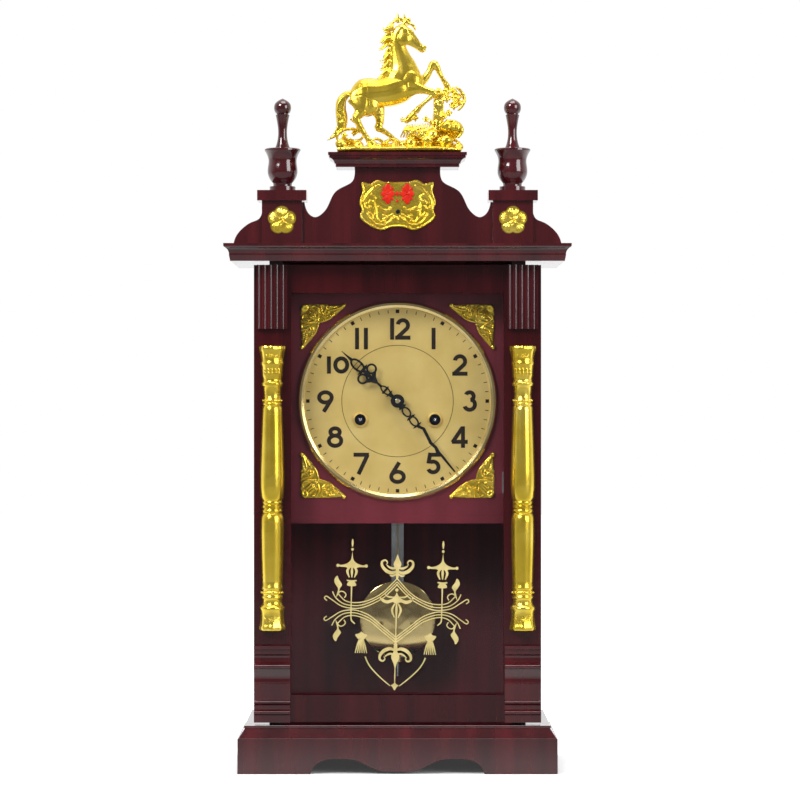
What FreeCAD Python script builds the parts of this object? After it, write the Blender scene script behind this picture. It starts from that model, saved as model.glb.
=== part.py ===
import FreeCAD, Part
import math
import os
import re
import Sketcher
from FreeCAD import Placement, Rotation, Vector

# A striking mantel clock with a glazed door, carved crest and visible pendulum.
# Origin: centre of the floor under the case. The front faces -Y, the top +Z, millimetres.

doc = FreeCAD.newDocument("GearClock")
dims = doc.addObject("Spreadsheet::Sheet", "Dims")

SIZES = {
    # base
    "base_width": "274",
    "base_front": "67.5",
    "case_rear": "77.5",
    "apron_height": "30.4",
    "base_height": "41",
    "base_step": "6",
    "base_board": "12",
    "arch_height": "13",
    # case box
    "case_width": "222",
    "case_front": "32",
    "board_thick": "12",
    "back_thick": "6",
    "case_top": "438.9",
    # cornice
    "cornice_width": "297",
    "cornice_front": "77.5",
    "cornice_height": "15",
    "cornice_lip": "3.4",
    "cornice_inset": "5.6",
    # crest
    "crest_half": "140.6",
    "crest_height": "65.5",
    "crest_thick": "18",
    "crest_front": "60",
    "crest_neck_half": "36.8",
    "platform_width": "118.4",
    "platform_depth": "46",
    "platform_height": "12.4",
    "platform_inset": "6.5",
    "block_width": "34.4",
    "block_depth": "30",
    "block_height": "37",
    "block_offset": "99",
    "block_proud": "3",
    "block_cap_width": "42.2",
    "block_cap_height": "8.9",
    "finial_height": "80",
    "finial_radius": "15.5",
    "rosette_radius": "12.3",
    "rosette_thick": "1.6",
    "rosette_height": "19.5",
    "plaque_width": "65.2",
    "plaque_height": "42.5",
    "plaque_thick": "1.8",
    "plaque_level": "33.3",
    "statue_height": "122.8",
    # door
    "door_width": "247",
    "door_height": "393",
    "door_thick": "20",
    "door_gap": "0.5",
    "door_lift": "2.2",
    "stile_width": "32",
    "rail_top": "24",
    "rail_bottom": "23.2",
    "glass_thick": "2.4",
    "glass_lap": "6",
    "glass_play": "0.3",
    "glass_setback": "12",
    "bead_thick": "4",
    "flute_width": "26",
    "flute_height": "55",
    "flute_thick": "6",
    "flute_count": "5",
    "column_offset": "107.7",
    "column_height": "244",
    "column_level": "79.2",
    "column_radius": "11.2",
    "plinth_width": "31",
    "plinth_height": "66",
    "plinth_thick": "9",
    "hinge_height": "38",
    "hinge_leaf": "14",
    "hinge_thick": "1",
    "hinge_knuckle": "2.5",
    "hinge_pin": "1.3",
    "hinge_inset": "60",
    # dial
    "dial_level": "319.2",
    "panel_front": "20",
    "panel_thick": "3",
    "panel_bottom": "213",
    "dial_radius": "86.5",
    "dial_thick": "0.8",
    "bezel_width": "5.3",
    "bezel_height": "4",
    "mark_thick": "0.15",
    "numeral_height": "18.7",
    "numeral_stroke": "3.5",
    "numeral_ring": "62.6",
    "minute_ring": "77.9",
    "square_mark": "3.1",
    "minute_mark": "3",
    "chapter_circle": "48.6",
    "wind_offset": "32.4",
    "wind_drop": "16.2",
    "grommet_radius": "6.7",
    "grommet_bore": "4.9",
    "spandrel_reach": "39.6",
    "spandrel_corner": "84",
    "spandrel_thick": "1.4",
    "hub_bore": "4.2",
    # hands
    "minute_length": "79",
    "hour_length": "65",
    "hand_thick": "0.8",
    "hand_space": "1.4",
    "hour_hand_front": "27",
    # movement
    "plate_thick": "2",
    "front_plate": "10",
    "plate_space": "32",
    "plate_half": "55",
    "plate_foot_half": "24",
    "plate_top": "67",
    "plate_bottom": "58",
    "pillar_radius": "3",
    "arbor_radius": "1.25",
    "pivot_play": "0.06",
    "barrel_radius": "27",
    "barrel_length": "15",
    "train_module": "0.5",
    "upper_module": "0.45",
    "hour_module": "0.48",
    "wheel_thick": "1",
    "great_thick": "2",
    "escape_radius": "14",
    "escape_rise": "39",
    "pendulum_rise": "58",
    "wind_arbor_radius": "3.6",
    "wind_square": "4",
    "ratchet_radius": "9",
    # pendulum and gong
    "pendulum_plane": "38",
    "pendulum_length": "250",
    "rod_width": "10.7",
    "rod_thick": "2",
    "bob_radius": "33.5",
    "bob_thick": "12",
    "gong_radius": "42",
    "gong_wire": "1.5",
    "gong_pitch": "7",
    "gong_turns": "4",
    "gong_level": "262",
    "gong_plane": "58",
    "hammer_radius": "6",
    "overrun": "1",
    "panel_play": "0.3",
}

for row, (alias, value) in enumerate(SIZES.items(), 1):
    dims.set(f"A{row}", alias)
    dims.set(f"B{row}", value)
    dims.setAlias(f"B{row}", alias)
doc.recompute()


class Sheet:
    """Reads a size of the sheet by its alias."""

    def __getattr__(self, alias):
        return float(dims.get(alias))


d = Sheet()
nodes = {}
AXIS_TURN = {
    "x": Rotation(Vector(0, 1, 0), 90),
    "y": Rotation(Vector(1, 0, 0), -90),
    "z": Rotation(),
}


def linked(text):
    """An expression over the sheet: each alias gets the sheet's name before it."""
    return re.sub(r"\b([a-z][a-z0-9]*_[a-z0-9_]+|overrun)\b", r"Dims.\1", text)


def value_of(text):
    """The number that an expression over the sheet gives now."""
    return float(dims.evalExpression(linked(text)))


def place(item, corner):
    """Binds the position of an object to three expressions."""
    for name, text in zip("xyz", corner):
        item.setExpression("Placement.Base." + name, linked(text))
    return item


def box(name, size, corner):
    """A board, from its three sizes and its lowest corner."""
    item = doc.addObject("Part::Box", name)
    for prop, text in zip(("Length", "Width", "Height"), size):
        item.setExpression(prop, linked(text))
    return place(item, corner)


def rod(name, radius, length, start, axis="y"):
    """A round bar from its start along an axis."""
    item = doc.addObject("Part::Cylinder", name)
    item.setExpression("Radius", linked(radius))
    item.setExpression("Height", linked(length))
    item.Placement = Placement(Vector(), AXIS_TURN[axis])
    return place(item, start)


def fuse(name, *items):
    item = doc.addObject("Part::MultiFuse", name)
    item.Shapes = list(items)
    item.Refine = True
    return item


def cut(name, base, *tools):
    item = doc.addObject("Part::Cut", name)
    item.Base = base
    item.Tool = tools[0] if len(tools) == 1 else fuse(name + "_tools", *tools)
    return item


def group(name, *items):
    """Separate solids that share one node."""
    item = doc.addObject("Part::Compound", name)
    item.Links = list(items)
    return item


def feature(name, shape):
    """A piece whose shape is worked out from the sheet by the functions below."""
    item = doc.addObject("Part::Feature", name)
    item.Shape = shape
    return item


def node(item, label=None):
    """Keeps an object as a piece of the clock, under its own label."""
    item.Label = label or item.Name
    nodes[item.Label] = item
    return item


def new_body(name, plane):
    """A body with a sketch on one of its own origin planes."""
    body = doc.addObject("PartDesign::Body", name)
    sketch = body.newObject("Sketcher::SketchObject", name + "_sketch")
    base = [item for item in body.Origin.OriginFeatures if item.Role == plane][0]
    sketch.AttachmentSupport = (base, [""])
    sketch.MapMode = "FlatFace"
    return body, sketch


def fix_point(sketch, shape, point, pair):
    """Ties one point of a sketch to the sheet."""
    for kind, text, axis in (("DistanceX", pair[0], -2), ("DistanceY", pair[1], -1)):
        amount = value_of(text)
        if text == "0":
            sketch.addConstraint(Sketcher.Constraint("PointOnObject", shape, point, axis))
        else:
            number = sketch.addConstraint(Sketcher.Constraint(kind, -1, 1, shape, point, amount))
            sketch.setExpression(f"Constraints[{number}]", linked(text))


def add_outline(sketch, pairs):
    """A closed outline through points given as pairs of expressions."""
    spots = [Vector(value_of(a), value_of(b), 0) for a, b in pairs]
    first = sketch.GeometryCount
    count = len(spots)
    for i in range(count):
        sketch.addGeometry(Part.LineSegment(spots[i], spots[(i + 1) % count]), False)
    for i in range(count):
        follower = first + (i + 1) % count
        sketch.addConstraint(Sketcher.Constraint("Coincident", first + i, 2, follower, 1))
    for i in range(count):
        fix_point(sketch, first + i, 1, pairs[i])


def add_hole(sketch, centre, radius):
    """A circle tied to the sheet at its centre and its radius."""
    spot = Vector(value_of(centre[0]), value_of(centre[1]), 0)
    circle = Part.Circle(spot, Vector(0, 0, 1), value_of(radius))
    shape = sketch.addGeometry(circle, False)
    fix_point(sketch, shape, 3, centre)
    number = sketch.addConstraint(Sketcher.Constraint("Radius", shape, value_of(radius)))
    sketch.setExpression(f"Constraints[{number}]", linked(radius))


def plate(name, outline, holes, thick, front, level="0"):
    """A flat piece facing the front: an outline in X and Z, and round holes."""
    body, sketch = new_body(name, "XZ_Plane")
    if isinstance(outline, str):
        add_hole(sketch, ("0", "0"), outline)
    else:
        add_outline(sketch, outline)
    for centre, radius in holes:
        add_hole(sketch, centre, radius)
    pad = body.newObject("PartDesign::Pad", name + "_pad")
    pad.Profile = sketch
    pad.Reversed = True
    pad.setExpression("Length", linked(thick))
    return place(body, ("0", front, level))


def turned(name, outline, start, axis="z"):
    """A turned piece: an outline of radius and height, revolved about an axis."""
    plane = "XZ_Plane" if axis == "z" else "XY_Plane"
    body, sketch = new_body(name, plane)
    add_outline(sketch, outline)
    spin = body.newObject("PartDesign::Revolution", name + "_spin")
    spin.Profile = sketch
    spin.ReferenceAxis = (sketch, ["V_Axis"])
    return place(body, start)


def polygon_face(points):
    """A flat face in X and Z through points."""
    spots = [Vector(x, 0, z) for x, z in points]
    return Part.Face(Part.makePolygon(spots + spots[:1]))


def arc_outline(points, bulge_shares):
    """A closed wire in X and Z whose sides bulge by shares of their length."""
    edges = []
    for i, (start, share) in enumerate(zip(points, bulge_shares)):
        a = Vector(start[0], 0, start[1])
        after = points[(i + 1) % len(points)]
        b = Vector(after[0], 0, after[1])
        if share:
            side = (b - a).cross(Vector(0, 1, 0))
            middle = (a + b) * 0.5 + side * share
            edges.append(Part.Arc(a, middle, b).toShape())
        else:
            edges.append(Part.makeLine(a, b))
    return Part.Wire(edges)


def slab(wire_or_face, front, thick):
    """A flat face in X and Z made a solid, from its front plane backwards."""
    face = wire_or_face if wire_or_face.ShapeType == "Face" else Part.Face(wire_or_face)
    face = face.translated(Vector(0, front, 0))
    return face.extrude(Vector(0, thick, 0))


def bar_y(radius, start, end, x=0, z=0):
    """A round bar along Y between two depths."""
    return Part.makeCylinder(radius, end - start, Vector(x, start, z), Vector(0, 1, 0))


def tube_y(outer, inner, start, end, x=0, z=0):
    """A tube along Y between two depths."""
    return bar_y(outer, start, end, x, z).cut(bar_y(inner, start, end, x, z))


def mould(half, front, rear, steps):
    """A board with a moulded front and ends: inset, height and hollow share of each step."""
    rise = [(inset, level) for inset, level, _ in steps]
    hollows = [share for _, _, share in steps][:-1]
    right = [(half - inset, level) for inset, level in rise]
    left = [(inset - half, level) for inset, level in reversed(rise)]
    shares = hollows + [0] + hollows[::-1] + [0]
    across = slab(arc_outline(right + left, shares), -front, front + rear)
    ends = [(rear, rise[0][1]), (rear, rise[-1][1])]
    face = [(inset - front, level) for inset, level in reversed(rise)]
    along = slab(arc_outline(ends + face, [0, 0] + hollows[::-1] + [0]), -half, 2 * half)
    along.rotate(Vector(), Vector(0, 0, 1), 90)
    return across.common(along)


def lathe(runs, radius, height):
    """A solid of revolution about Z: runs of radius and height shares, smooth within a run."""
    edges = []
    last = None
    for run in runs:
        spots = [Vector(a * radius, 0, b * height) for a, b in run]
        if last is not None:
            edges.append(Part.makeLine(last, spots[0]))
        if len(spots) > 2:
            curve = Part.BSplineCurve()
            curve.interpolate(spots)
            edges.append(curve.toShape())
        elif len(spots) == 2:
            edges.append(Part.makeLine(*spots))
        last = spots[-1]
    axis_top = Vector(0, 0, last.z)
    if last.x > 0:
        edges.append(Part.makeLine(last, axis_top))
    edges.append(Part.makeLine(axis_top, Vector()))
    first = Vector(runs[0][0][0] * radius, 0, 0)
    edges.append(Part.makeLine(Vector(), first))
    face = Part.Face(Part.Wire(Part.__sortEdges__(edges)))
    return face.revolve(Vector(), Vector(0, 0, 1), 360)


def mirrored(shape):
    """The same piece on the other side of the clock."""
    return shape.mirror(Vector(), Vector(1, 0, 0))


def base_parts():
    """The hollow plinth: an arched front apron, two sides, a rear board and the moulded top."""
    width, height = d.base_width, d.apron_height
    rise_share = d.arch_height / width
    arch_shares = [(-0.272, 0), (-0.243, 0.80), (-0.218, 0.97), (-0.186, 1), (-0.135, 0.93),
                   (-0.093, 0.55), (-0.057, 0.24), (-0.022, 0.17)]
    apron = box("apron", ("base_width", "base_board", "apron_height"),
                ("-base_width / 2", "-base_front", "0"))
    left = [Vector(a * width, 0, b * rise_share * width) for a, b in arch_shares]
    spots = left + [Vector(-p.x, 0, p.z) for p in reversed(left)]
    curve = Part.BSplineCurve()
    curve.interpolate(spots)
    wire = Part.Wire([curve.toShape(), Part.makeLine(spots[-1], spots[0])])
    overrun = d.overrun
    arch = slab(wire, -d.base_front - overrun, d.base_board + 2 * overrun)
    apron_cut = cut("apron_arched", apron, feature("apron_arch", arch))
    depth = "base_front + case_rear - base_board"
    side_left = box("base_side_left", ("base_board", depth, "apron_height"),
                    ("-base_width / 2", "base_board - base_front", "0"))
    side_right = box("base_side_right", ("base_board", depth, "apron_height"),
                     ("base_width / 2 - base_board", "base_board - base_front", "0"))
    rear = box("base_rear", ("base_width - 2 * base_board", "base_board", "apron_height"),
               ("base_board - base_width / 2", "case_rear - base_board", "0"))
    node(group("base_frame", apron_cut, side_left, side_right, rear))
    top = d.base_height - height
    bead_share, slope_share, shoulder_share = 0.23, 0.76, 0.15
    steps = [(d.base_step * shoulder_share, height, 0),
             (d.base_step, height + top * slope_share, 0),
             (d.base_step, d.base_height - top * bead_share, -bead_share),
             (d.base_step, d.base_height, 0)]
    node(feature("base_top", mould(d.base_width / 2, d.base_front, d.case_rear, steps)))


def case_parts():
    """The box behind the door: two sides, the rear board and the moulded cornice on top."""
    depth = "case_front + case_rear - back_thick"
    tall = "case_top - base_height"
    size = ("board_thick", depth, tall)
    node(box("case_side_left", size, ("-case_width / 2", "-case_front", "base_height")))
    node(box("case_side_right", size, ("case_width / 2 - board_thick", "-case_front", "base_height")))
    node(box("case_back", ("case_width", "back_thick", tall),
             ("-case_width / 2", "case_rear - back_thick", "base_height")))
    low, high = d.case_top, d.case_top + d.cornice_height
    fascia_share, hollow_share = 0.33, 0.16
    fascia_top = low + d.cornice_height * fascia_share
    steps = [(d.cornice_inset, low, 0),
             (d.cornice_inset - d.overrun, fascia_top, hollow_share),
             (d.overrun, high - d.cornice_lip, 0),
             (0, high - d.cornice_lip + d.overrun, 0),
             (0, high, 0)]
    node(feature("cornice", mould(d.cornice_width / 2, d.cornice_front, d.case_rear, steps)))


def crest_outline():
    """The scrolled outline of the crest board, in shares of its half width and its height."""
    half, rise, neck = d.crest_half, d.crest_height, d.crest_neck_half
    swell_shares = [(1, 0), (0.975, 0.135), (0.94, 0.215), (0.885, 0.29), (0.845, 0.33),
                    (0.828, 0.40), (0.82, 0.55)]
    hollow_shares = [(0.568, 0.55), (0.556, 0.45), (0.53, 0.375), (0.502, 0.352),
                     (0.467, 0.385), (0.432, 0.468), (0.405, 0.592), (0.378, 0.684)]
    shoulder_shares = [(1.22, 0.76), (1.04, 0.83), (1.0, 0.90), (1.0, 1.0)]
    swell = [Vector(a * half, 0, b * rise) for a, b in swell_shares]
    hollow = [Vector(a * half, 0, b * rise) for a, b in hollow_shares]
    neck_side = [Vector(a * neck, 0, b * rise) for a, b in shoulder_shares]
    first, second = Part.BSplineCurve(), Part.BSplineCurve()
    first.interpolate(swell)
    second.interpolate(hollow + neck_side)
    step = Part.makeLine(swell[-1], hollow[0])
    right = [first.toShape(), step, second.toShape()]
    top = Part.makeLine(neck_side[-1], Vector(-neck, 0, rise))
    bottom = Part.makeLine(Vector(-half, 0, 0), swell[0])
    left = [mirrored(edge) for edge in right]
    return Part.Wire(Part.__sortEdges__(right + left + [top, bottom]))


def crest_parts():
    """The scrolled crest, its platform, two finial blocks, turned finials and the brass trim."""
    level = d.case_top + d.cornice_height
    board = slab(crest_outline(), -d.crest_front, d.crest_thick).translated(Vector(0, 0, level))
    notch_half = d.block_width / 2 + d.panel_play / 3
    for side in (-1, 1):
        corner = Vector(side * d.block_offset - notch_half, -d.crest_front - d.overrun, level)
        board = board.cut(Part.makeBox(2 * notch_half, d.crest_thick + 2 * d.overrun,
                                       d.crest_height, corner))
    node(feature("crest_board", board))
    top = level + d.crest_height
    inset, tall = d.platform_inset, d.platform_height
    fillet_share, cove_share, hollow_share = 0.22, 0.62, 0.16
    steps = [(inset, top, 0), (inset, top + tall * fillet_share, 0),
             (inset - d.overrun, top + tall * fillet_share, hollow_share),
             (d.overrun, top + tall * cove_share, 0),
             (d.overrun, top + tall * (1 - fillet_share), 0),
             (0, top + tall * (1 - fillet_share), 0), (0, top + tall, 0)]
    front = d.crest_front + (d.platform_depth - d.crest_thick) / 2
    rear = d.platform_depth - front
    node(feature("crest_cap", mould(d.platform_width / 2, front, rear, steps)))
    blocks, caps = [], []
    for side, word in ((-1, "left"), (1, "right")):
        middle = f"{side} * block_offset"
        blocks.append(box(f"finial_block_{word}", ("block_width", "block_depth", "block_height"),
                          (f"{middle} - block_width / 2", "-crest_front - block_proud",
                           "case_top + cornice_height")))
        caps.append(box(f"finial_cap_{word}",
                        ("block_cap_width", "block_depth + block_cap_width - block_width",
                         "block_cap_height"),
                        (f"{middle} - block_cap_width / 2",
                         "-crest_front - block_proud - (block_cap_width - block_width) / 2",
                         "case_top + cornice_height + block_height")))
    node(group("finial_blocks", *blocks))
    node(group("finial_caps", *caps))
    foot = [[(0.72, 0), (0.72, 0.05)], [(0.52, 0.055), (0.52, 0.07)],
            [(0.53, 0.085), (0.66, 0.115), (0.77, 0.155), (0.83, 0.205), (0.81, 0.27),
             (0.78, 0.33), (0.86, 0.39), (1.0, 0.437)],
            [(1.0, 0.452), (0.93, 0.46)], [(0.45, 0.46), (0.41, 0.466)],
            [(0.40, 0.475), (0.32, 0.52), (0.26, 0.58), (0.245, 0.645), (0.29, 0.73),
             (0.36, 0.80), (0.385, 0.822)],
            [(0.33, 0.827), (0.33, 0.835)],
            [(0.38, 0.84), (0.455, 0.87), (0.475, 0.905), (0.42, 0.945), (0.26, 0.975),
             (0.12, 0.99), (0, 1)]]
    finial = lathe(foot, d.finial_radius, d.finial_height)
    seat = level + d.block_height + d.block_cap_height
    depth = d.block_depth / 2 - d.crest_front - d.block_proud
    spots = [Vector(side * d.block_offset, depth, seat) for side in (-1, 1)]
    node(feature("finials", Part.makeCompound([finial.translated(spot) for spot in spots])))
    node(group("rosettes", *[rosette(side, word) for side, word in ((-1, "left"), (1, "right"))]))
    node(feature("crest_plaque", plaque()))


def rosette(side, word):
    """A five-petalled brass flower pinned to a finial block."""
    petals = 5
    front = "-crest_front - block_proud - rosette_thick"
    level = "case_top + cornice_height + rosette_height"
    pieces = []
    for i in range(petals):
        turn = f"{90 + 360 / petals * i}deg"
        spot = (f"{side} * block_offset + 0.58 * rosette_radius * cos({turn})", front,
                f"{level} + 0.58 * rosette_radius * sin({turn})")
        pieces.append(rod(f"petal_{word}_{i}", "0.42 * rosette_radius", "rosette_thick", spot))
    pieces.append(rod(f"flower_{word}", "0.5 * rosette_radius", "rosette_thick",
                      (f"{side} * block_offset", front, level)))
    pieces.append(rod(f"stamen_{word}", "0.2 * rosette_radius", "1.6 * rosette_thick",
                      (f"{side} * block_offset", f"{front} - 0.6 * rosette_thick", level)))
    return fuse(f"rosette_{word}", *pieces)


def plaque():
    """The lobed brass cartouche on the crest."""
    edge_shares = [(0.16, 0.46), (0.26, 0.50), (0.36, 0.42), (0.47, 0.45), (0.46, 0.27),
                   (0.50, 0.05), (0.47, -0.10), (0.49, -0.25), (0.38, -0.40), (0.22, -0.50),
                   (0.08, -0.44)]
    bulge_shares = [0.2, 0.2, 0.25, 0.3, 0.1, 0.15, 0.15, 0.2, 0.12, 0.15]
    right = [(a * d.plaque_width, b * d.plaque_height) for a, b in edge_shares]
    left = [(-x, z) for x, z in reversed(right)]
    sides = bulge_shares + [0] + bulge_shares[::-1] + [0]
    spot = Vector(0, 0, d.case_top + d.cornice_height + d.plaque_level)
    front = -d.crest_front - d.plaque_thick
    return slab(arc_outline(right + left, sides), front, d.plaque_thick).translated(spot)


def door_parts():
    """The glazed door: frame, glass, beads and the applied half pilasters."""
    front = "-case_front - door_gap - door_thick"
    low = "base_height + door_lift"
    sill = f"{low} + rail_bottom"
    opening = ("door_width - 2 * stile_width", "door_height - rail_top - rail_bottom")
    stile = ("stile_width", "door_thick", "door_height")
    rail = "door_width - 2 * stile_width"
    frame = [box("door_stile_left", stile, ("-door_width / 2", front, low)),
             box("door_stile_right", stile, ("door_width / 2 - stile_width", front, low)),
             box("door_rail_low", (rail, "door_thick", "rail_bottom"),
                 ("stile_width - door_width / 2", front, low)),
             box("door_rail_high", (rail, "door_thick", "rail_top"),
                 ("stile_width - door_width / 2", front, f"{low} + door_height - rail_top"))]
    rabbet_size = (f"{opening[0]} + 2 * glass_lap", "door_thick", f"{opening[1]} + 2 * glass_lap")
    rabbet_spot = ("stile_width - door_width / 2 - glass_lap", f"{front} + glass_setback",
                   f"{sill} - glass_lap")
    pieces = []
    for item in frame:
        rabbet = box(item.Name + "_rabbet", rabbet_size, rabbet_spot)
        pieces.append(cut(item.Name + "_cut", item, rabbet))
    node(group("door_frame", *pieces))
    pane = (f"{opening[0]} + 2 * glass_lap - 2 * glass_play", "glass_thick",
            f"{opening[1]} + 2 * glass_lap - 2 * glass_play")
    node(box("door_glass", pane, ("stile_width - door_width / 2 - glass_lap + glass_play",
                                  rabbet_spot[1], f"{sill} - glass_lap + glass_play")))
    behind = f"{rabbet_spot[1]} + glass_thick"
    wide, tall = pane[0], pane[2]
    strip = "glass_lap - glass_play"
    left = "stile_width - door_width / 2 - glass_lap + glass_play"
    bottom = f"{sill} - glass_lap + glass_play"
    beads = [box("bead_low", (wide, "bead_thick", strip), (left, behind, bottom)),
             box("bead_high", (wide, "bead_thick", strip),
                 (left, behind, f"{sill} + {opening[1]}")),
             box("bead_left", (strip, "bead_thick", opening[1]), (left, behind, sill)),
             box("bead_right", (strip, "bead_thick", opening[1]),
                 ("door_width / 2 - stile_width", behind, sill))]
    node(group("glass_beads", *beads))
    flutes, columns, plinths = [], [], []
    for side, word in ((-1, "left"), (1, "right")):
        flutes.append(fluted_block(side, word))
        columns.append(half_column(side))
        plinths.append(plinth_block(side))
    node(group("fluted_blocks", *flutes))
    node(feature("half_columns", Part.makeCompound(columns)))
    node(feature("plinth_blocks", Part.makeCompound(plinths)))


def fluted_block(side, word):
    """A reeded block at the top of a stile: upright grooves over its full height."""
    front = "-case_front - door_gap - door_thick - flute_thick"
    middle = f"{side} * column_offset"
    top = "base_height + door_lift + door_height"
    block = box(f"flute_block_{word}", ("flute_width", "flute_thick", "flute_height"),
                (f"{middle} - flute_width / 2", front, f"{top} - flute_height"))
    grooves = []
    count = int(d.flute_count)
    for i in range(count):
        share = round((i + 0.5) / count - 0.5, 4)
        grooves.append(rod(f"flute_{word}_{i}", "0.36 * flute_width / flute_count",
                           "flute_height + 2 * overrun",
                           (f"{middle} + {share} * flute_width", front,
                            f"{top} - flute_height - overrun"), "z"))
    return cut(f"fluted_{word}", block, *grooves)


def half_column(side):
    """A gilt half column with capital, waist rings and foot, flat against the stile."""
    runs = [[(0.95, 0), (0.93, 0.015)], [(0.80, 0.064), (0.77, 0.070)],
            [(0.90, 0.072), (0.90, 0.081)], [(0.76, 0.083), (0.70, 0.111)],
            [(0.80, 0.116), (0.80, 0.126)], [(0.74, 0.128), (0.74, 0.130)],
            [(0.80, 0.132), (0.80, 0.140)], [(0.70, 0.143), (0.685, 0.150)],
            [(0.69, 0.155), (0.78, 0.281), (0.88, 0.375), (0.90, 0.408)],
            [(0.79, 0.413), (0.79, 0.4135)],
            [(0.85, 0.417), (0.85, 0.424)], [(0.76, 0.426), (0.76, 0.427)],
            [(0.84, 0.429), (0.84, 0.436)], [(0.76, 0.438), (0.76, 0.439)],
            [(0.82, 0.441), (0.82, 0.447)], [(0.78, 0.449), (0.78, 0.450)],
            [(0.83, 0.458), (0.875, 0.50), (0.86, 0.54), (0.80, 0.634), (0.74, 0.74), (0.72, 0.785)],
            [(0.81, 0.790), (0.81, 0.798)], [(0.74, 0.800), (0.74, 0.801)],
            [(0.81, 0.804), (0.81, 0.812)], [(0.70, 0.815), (0.74, 0.862)],
            [(0.88, 0.866), (0.88, 0.874)], [(0.73, 0.877), (0.78, 0.935)],
            [(0.89, 0.942), (0.98, 0.985)], [(1.0, 0.99), (1.0, 1.0)]]
    whole = lathe(runs, d.column_radius, d.column_height)
    plane = -d.case_front - d.door_gap - d.door_thick
    reach = 2 * d.column_radius
    keep = Part.makeBox(2 * reach, reach, d.column_height, Vector(-reach, -reach, 0))
    half = whole.common(keep)
    level = d.base_height + d.door_lift + d.column_level
    return half.translated(Vector(side * d.column_offset, plane, level))


def plinth_block(side):
    """The moulded block at the foot of a stile: bands, coves and beads across its face."""
    face_shares = [(0.62, 0), (0.62, 0.095), (0.80, 0.115), (0.80, 0.15), (0.58, 0.17),
                   (0.58, 0.225), (0.78, 0.25), (0.78, 0.28), (0.66, 0.295), (0.66, 0.50),
                   (0.52, 0.53), (0.60, 0.63), (0.90, 0.70), (0.90, 0.755), (0.60, 0.79),
                   (0.52, 0.87), (0.72, 0.89), (0.72, 0.945), (0.92, 0.955), (0.92, 1.0)]
    hollow_shares = [0, 0, -0.3, 0, 0, 0, -0.3, 0, 0, 0, 0.12, 0, -0.4, 0, 0.12, 0, 0, 0, 0]
    plane = -d.case_front - d.door_gap - d.door_thick
    thick, tall = d.plinth_thick, d.plinth_height
    face = [(a * thick, b * tall) for a, b in face_shares]
    outline = face + [(0, tall), (0, 0)]
    solid = slab(arc_outline(outline, hollow_shares + [0, 0, 0]), 0, d.plinth_width)
    solid.rotate(Vector(), Vector(0, 0, 1), -90)
    low = d.base_height + d.door_lift
    return solid.translated(Vector(side * d.column_offset - d.plinth_width / 2, plane, low))


def hinge_parts():
    """Two butt hinges on the left edge: case leaves with their pins, and door leaves."""
    knuckle, thick = d.hinge_knuckle, d.hinge_thick
    x = -d.case_width / 2 - knuckle
    y = -d.case_front - d.door_gap + knuckle
    tall, gap = d.hinge_height, d.hinge_pin * 0.15
    third = tall / 3
    case_leaves, door_leaves = [], []
    low = d.base_height + d.door_lift
    for level in (low + d.hinge_inset, low + d.door_height - d.hinge_inset - tall):
        pin = Part.makeCylinder(d.hinge_pin, tall, Vector(x, y, level))
        ends = [Part.makeCylinder(knuckle, third - gap, Vector(x, y, start))
                for start in (level, level + 2 * third + gap)]
        wings = [Part.makeBox(thick, d.hinge_leaf, third - gap,
                              Vector(x + knuckle - thick, y, start))
                 for start in (level, level + 2 * third + gap)]
        spine = Part.makeBox(thick, d.hinge_leaf - knuckle - 2 * gap, tall,
                             Vector(x + knuckle - thick, y + knuckle + 2 * gap, level))
        case_leaves.append(pin.multiFuse(ends + wings + [spine]).removeSplitter())
        barrel = Part.makeCylinder(knuckle, third, Vector(x, y, level + third))
        wing = Part.makeBox(d.hinge_leaf * 0.62, thick, third,
                            Vector(x - d.hinge_leaf * 0.62, y - knuckle, level + third))
        hole = Part.makeCylinder(d.hinge_pin + d.pivot_play, tall, Vector(x, y, level))
        door_leaves.append(barrel.fuse(wing).cut(hole).removeSplitter())
    node(feature("hinge_leaves_case", Part.makeCompound(case_leaves)))
    node(feature("hinge_leaves_door", Part.makeCompound(door_leaves)))


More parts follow.
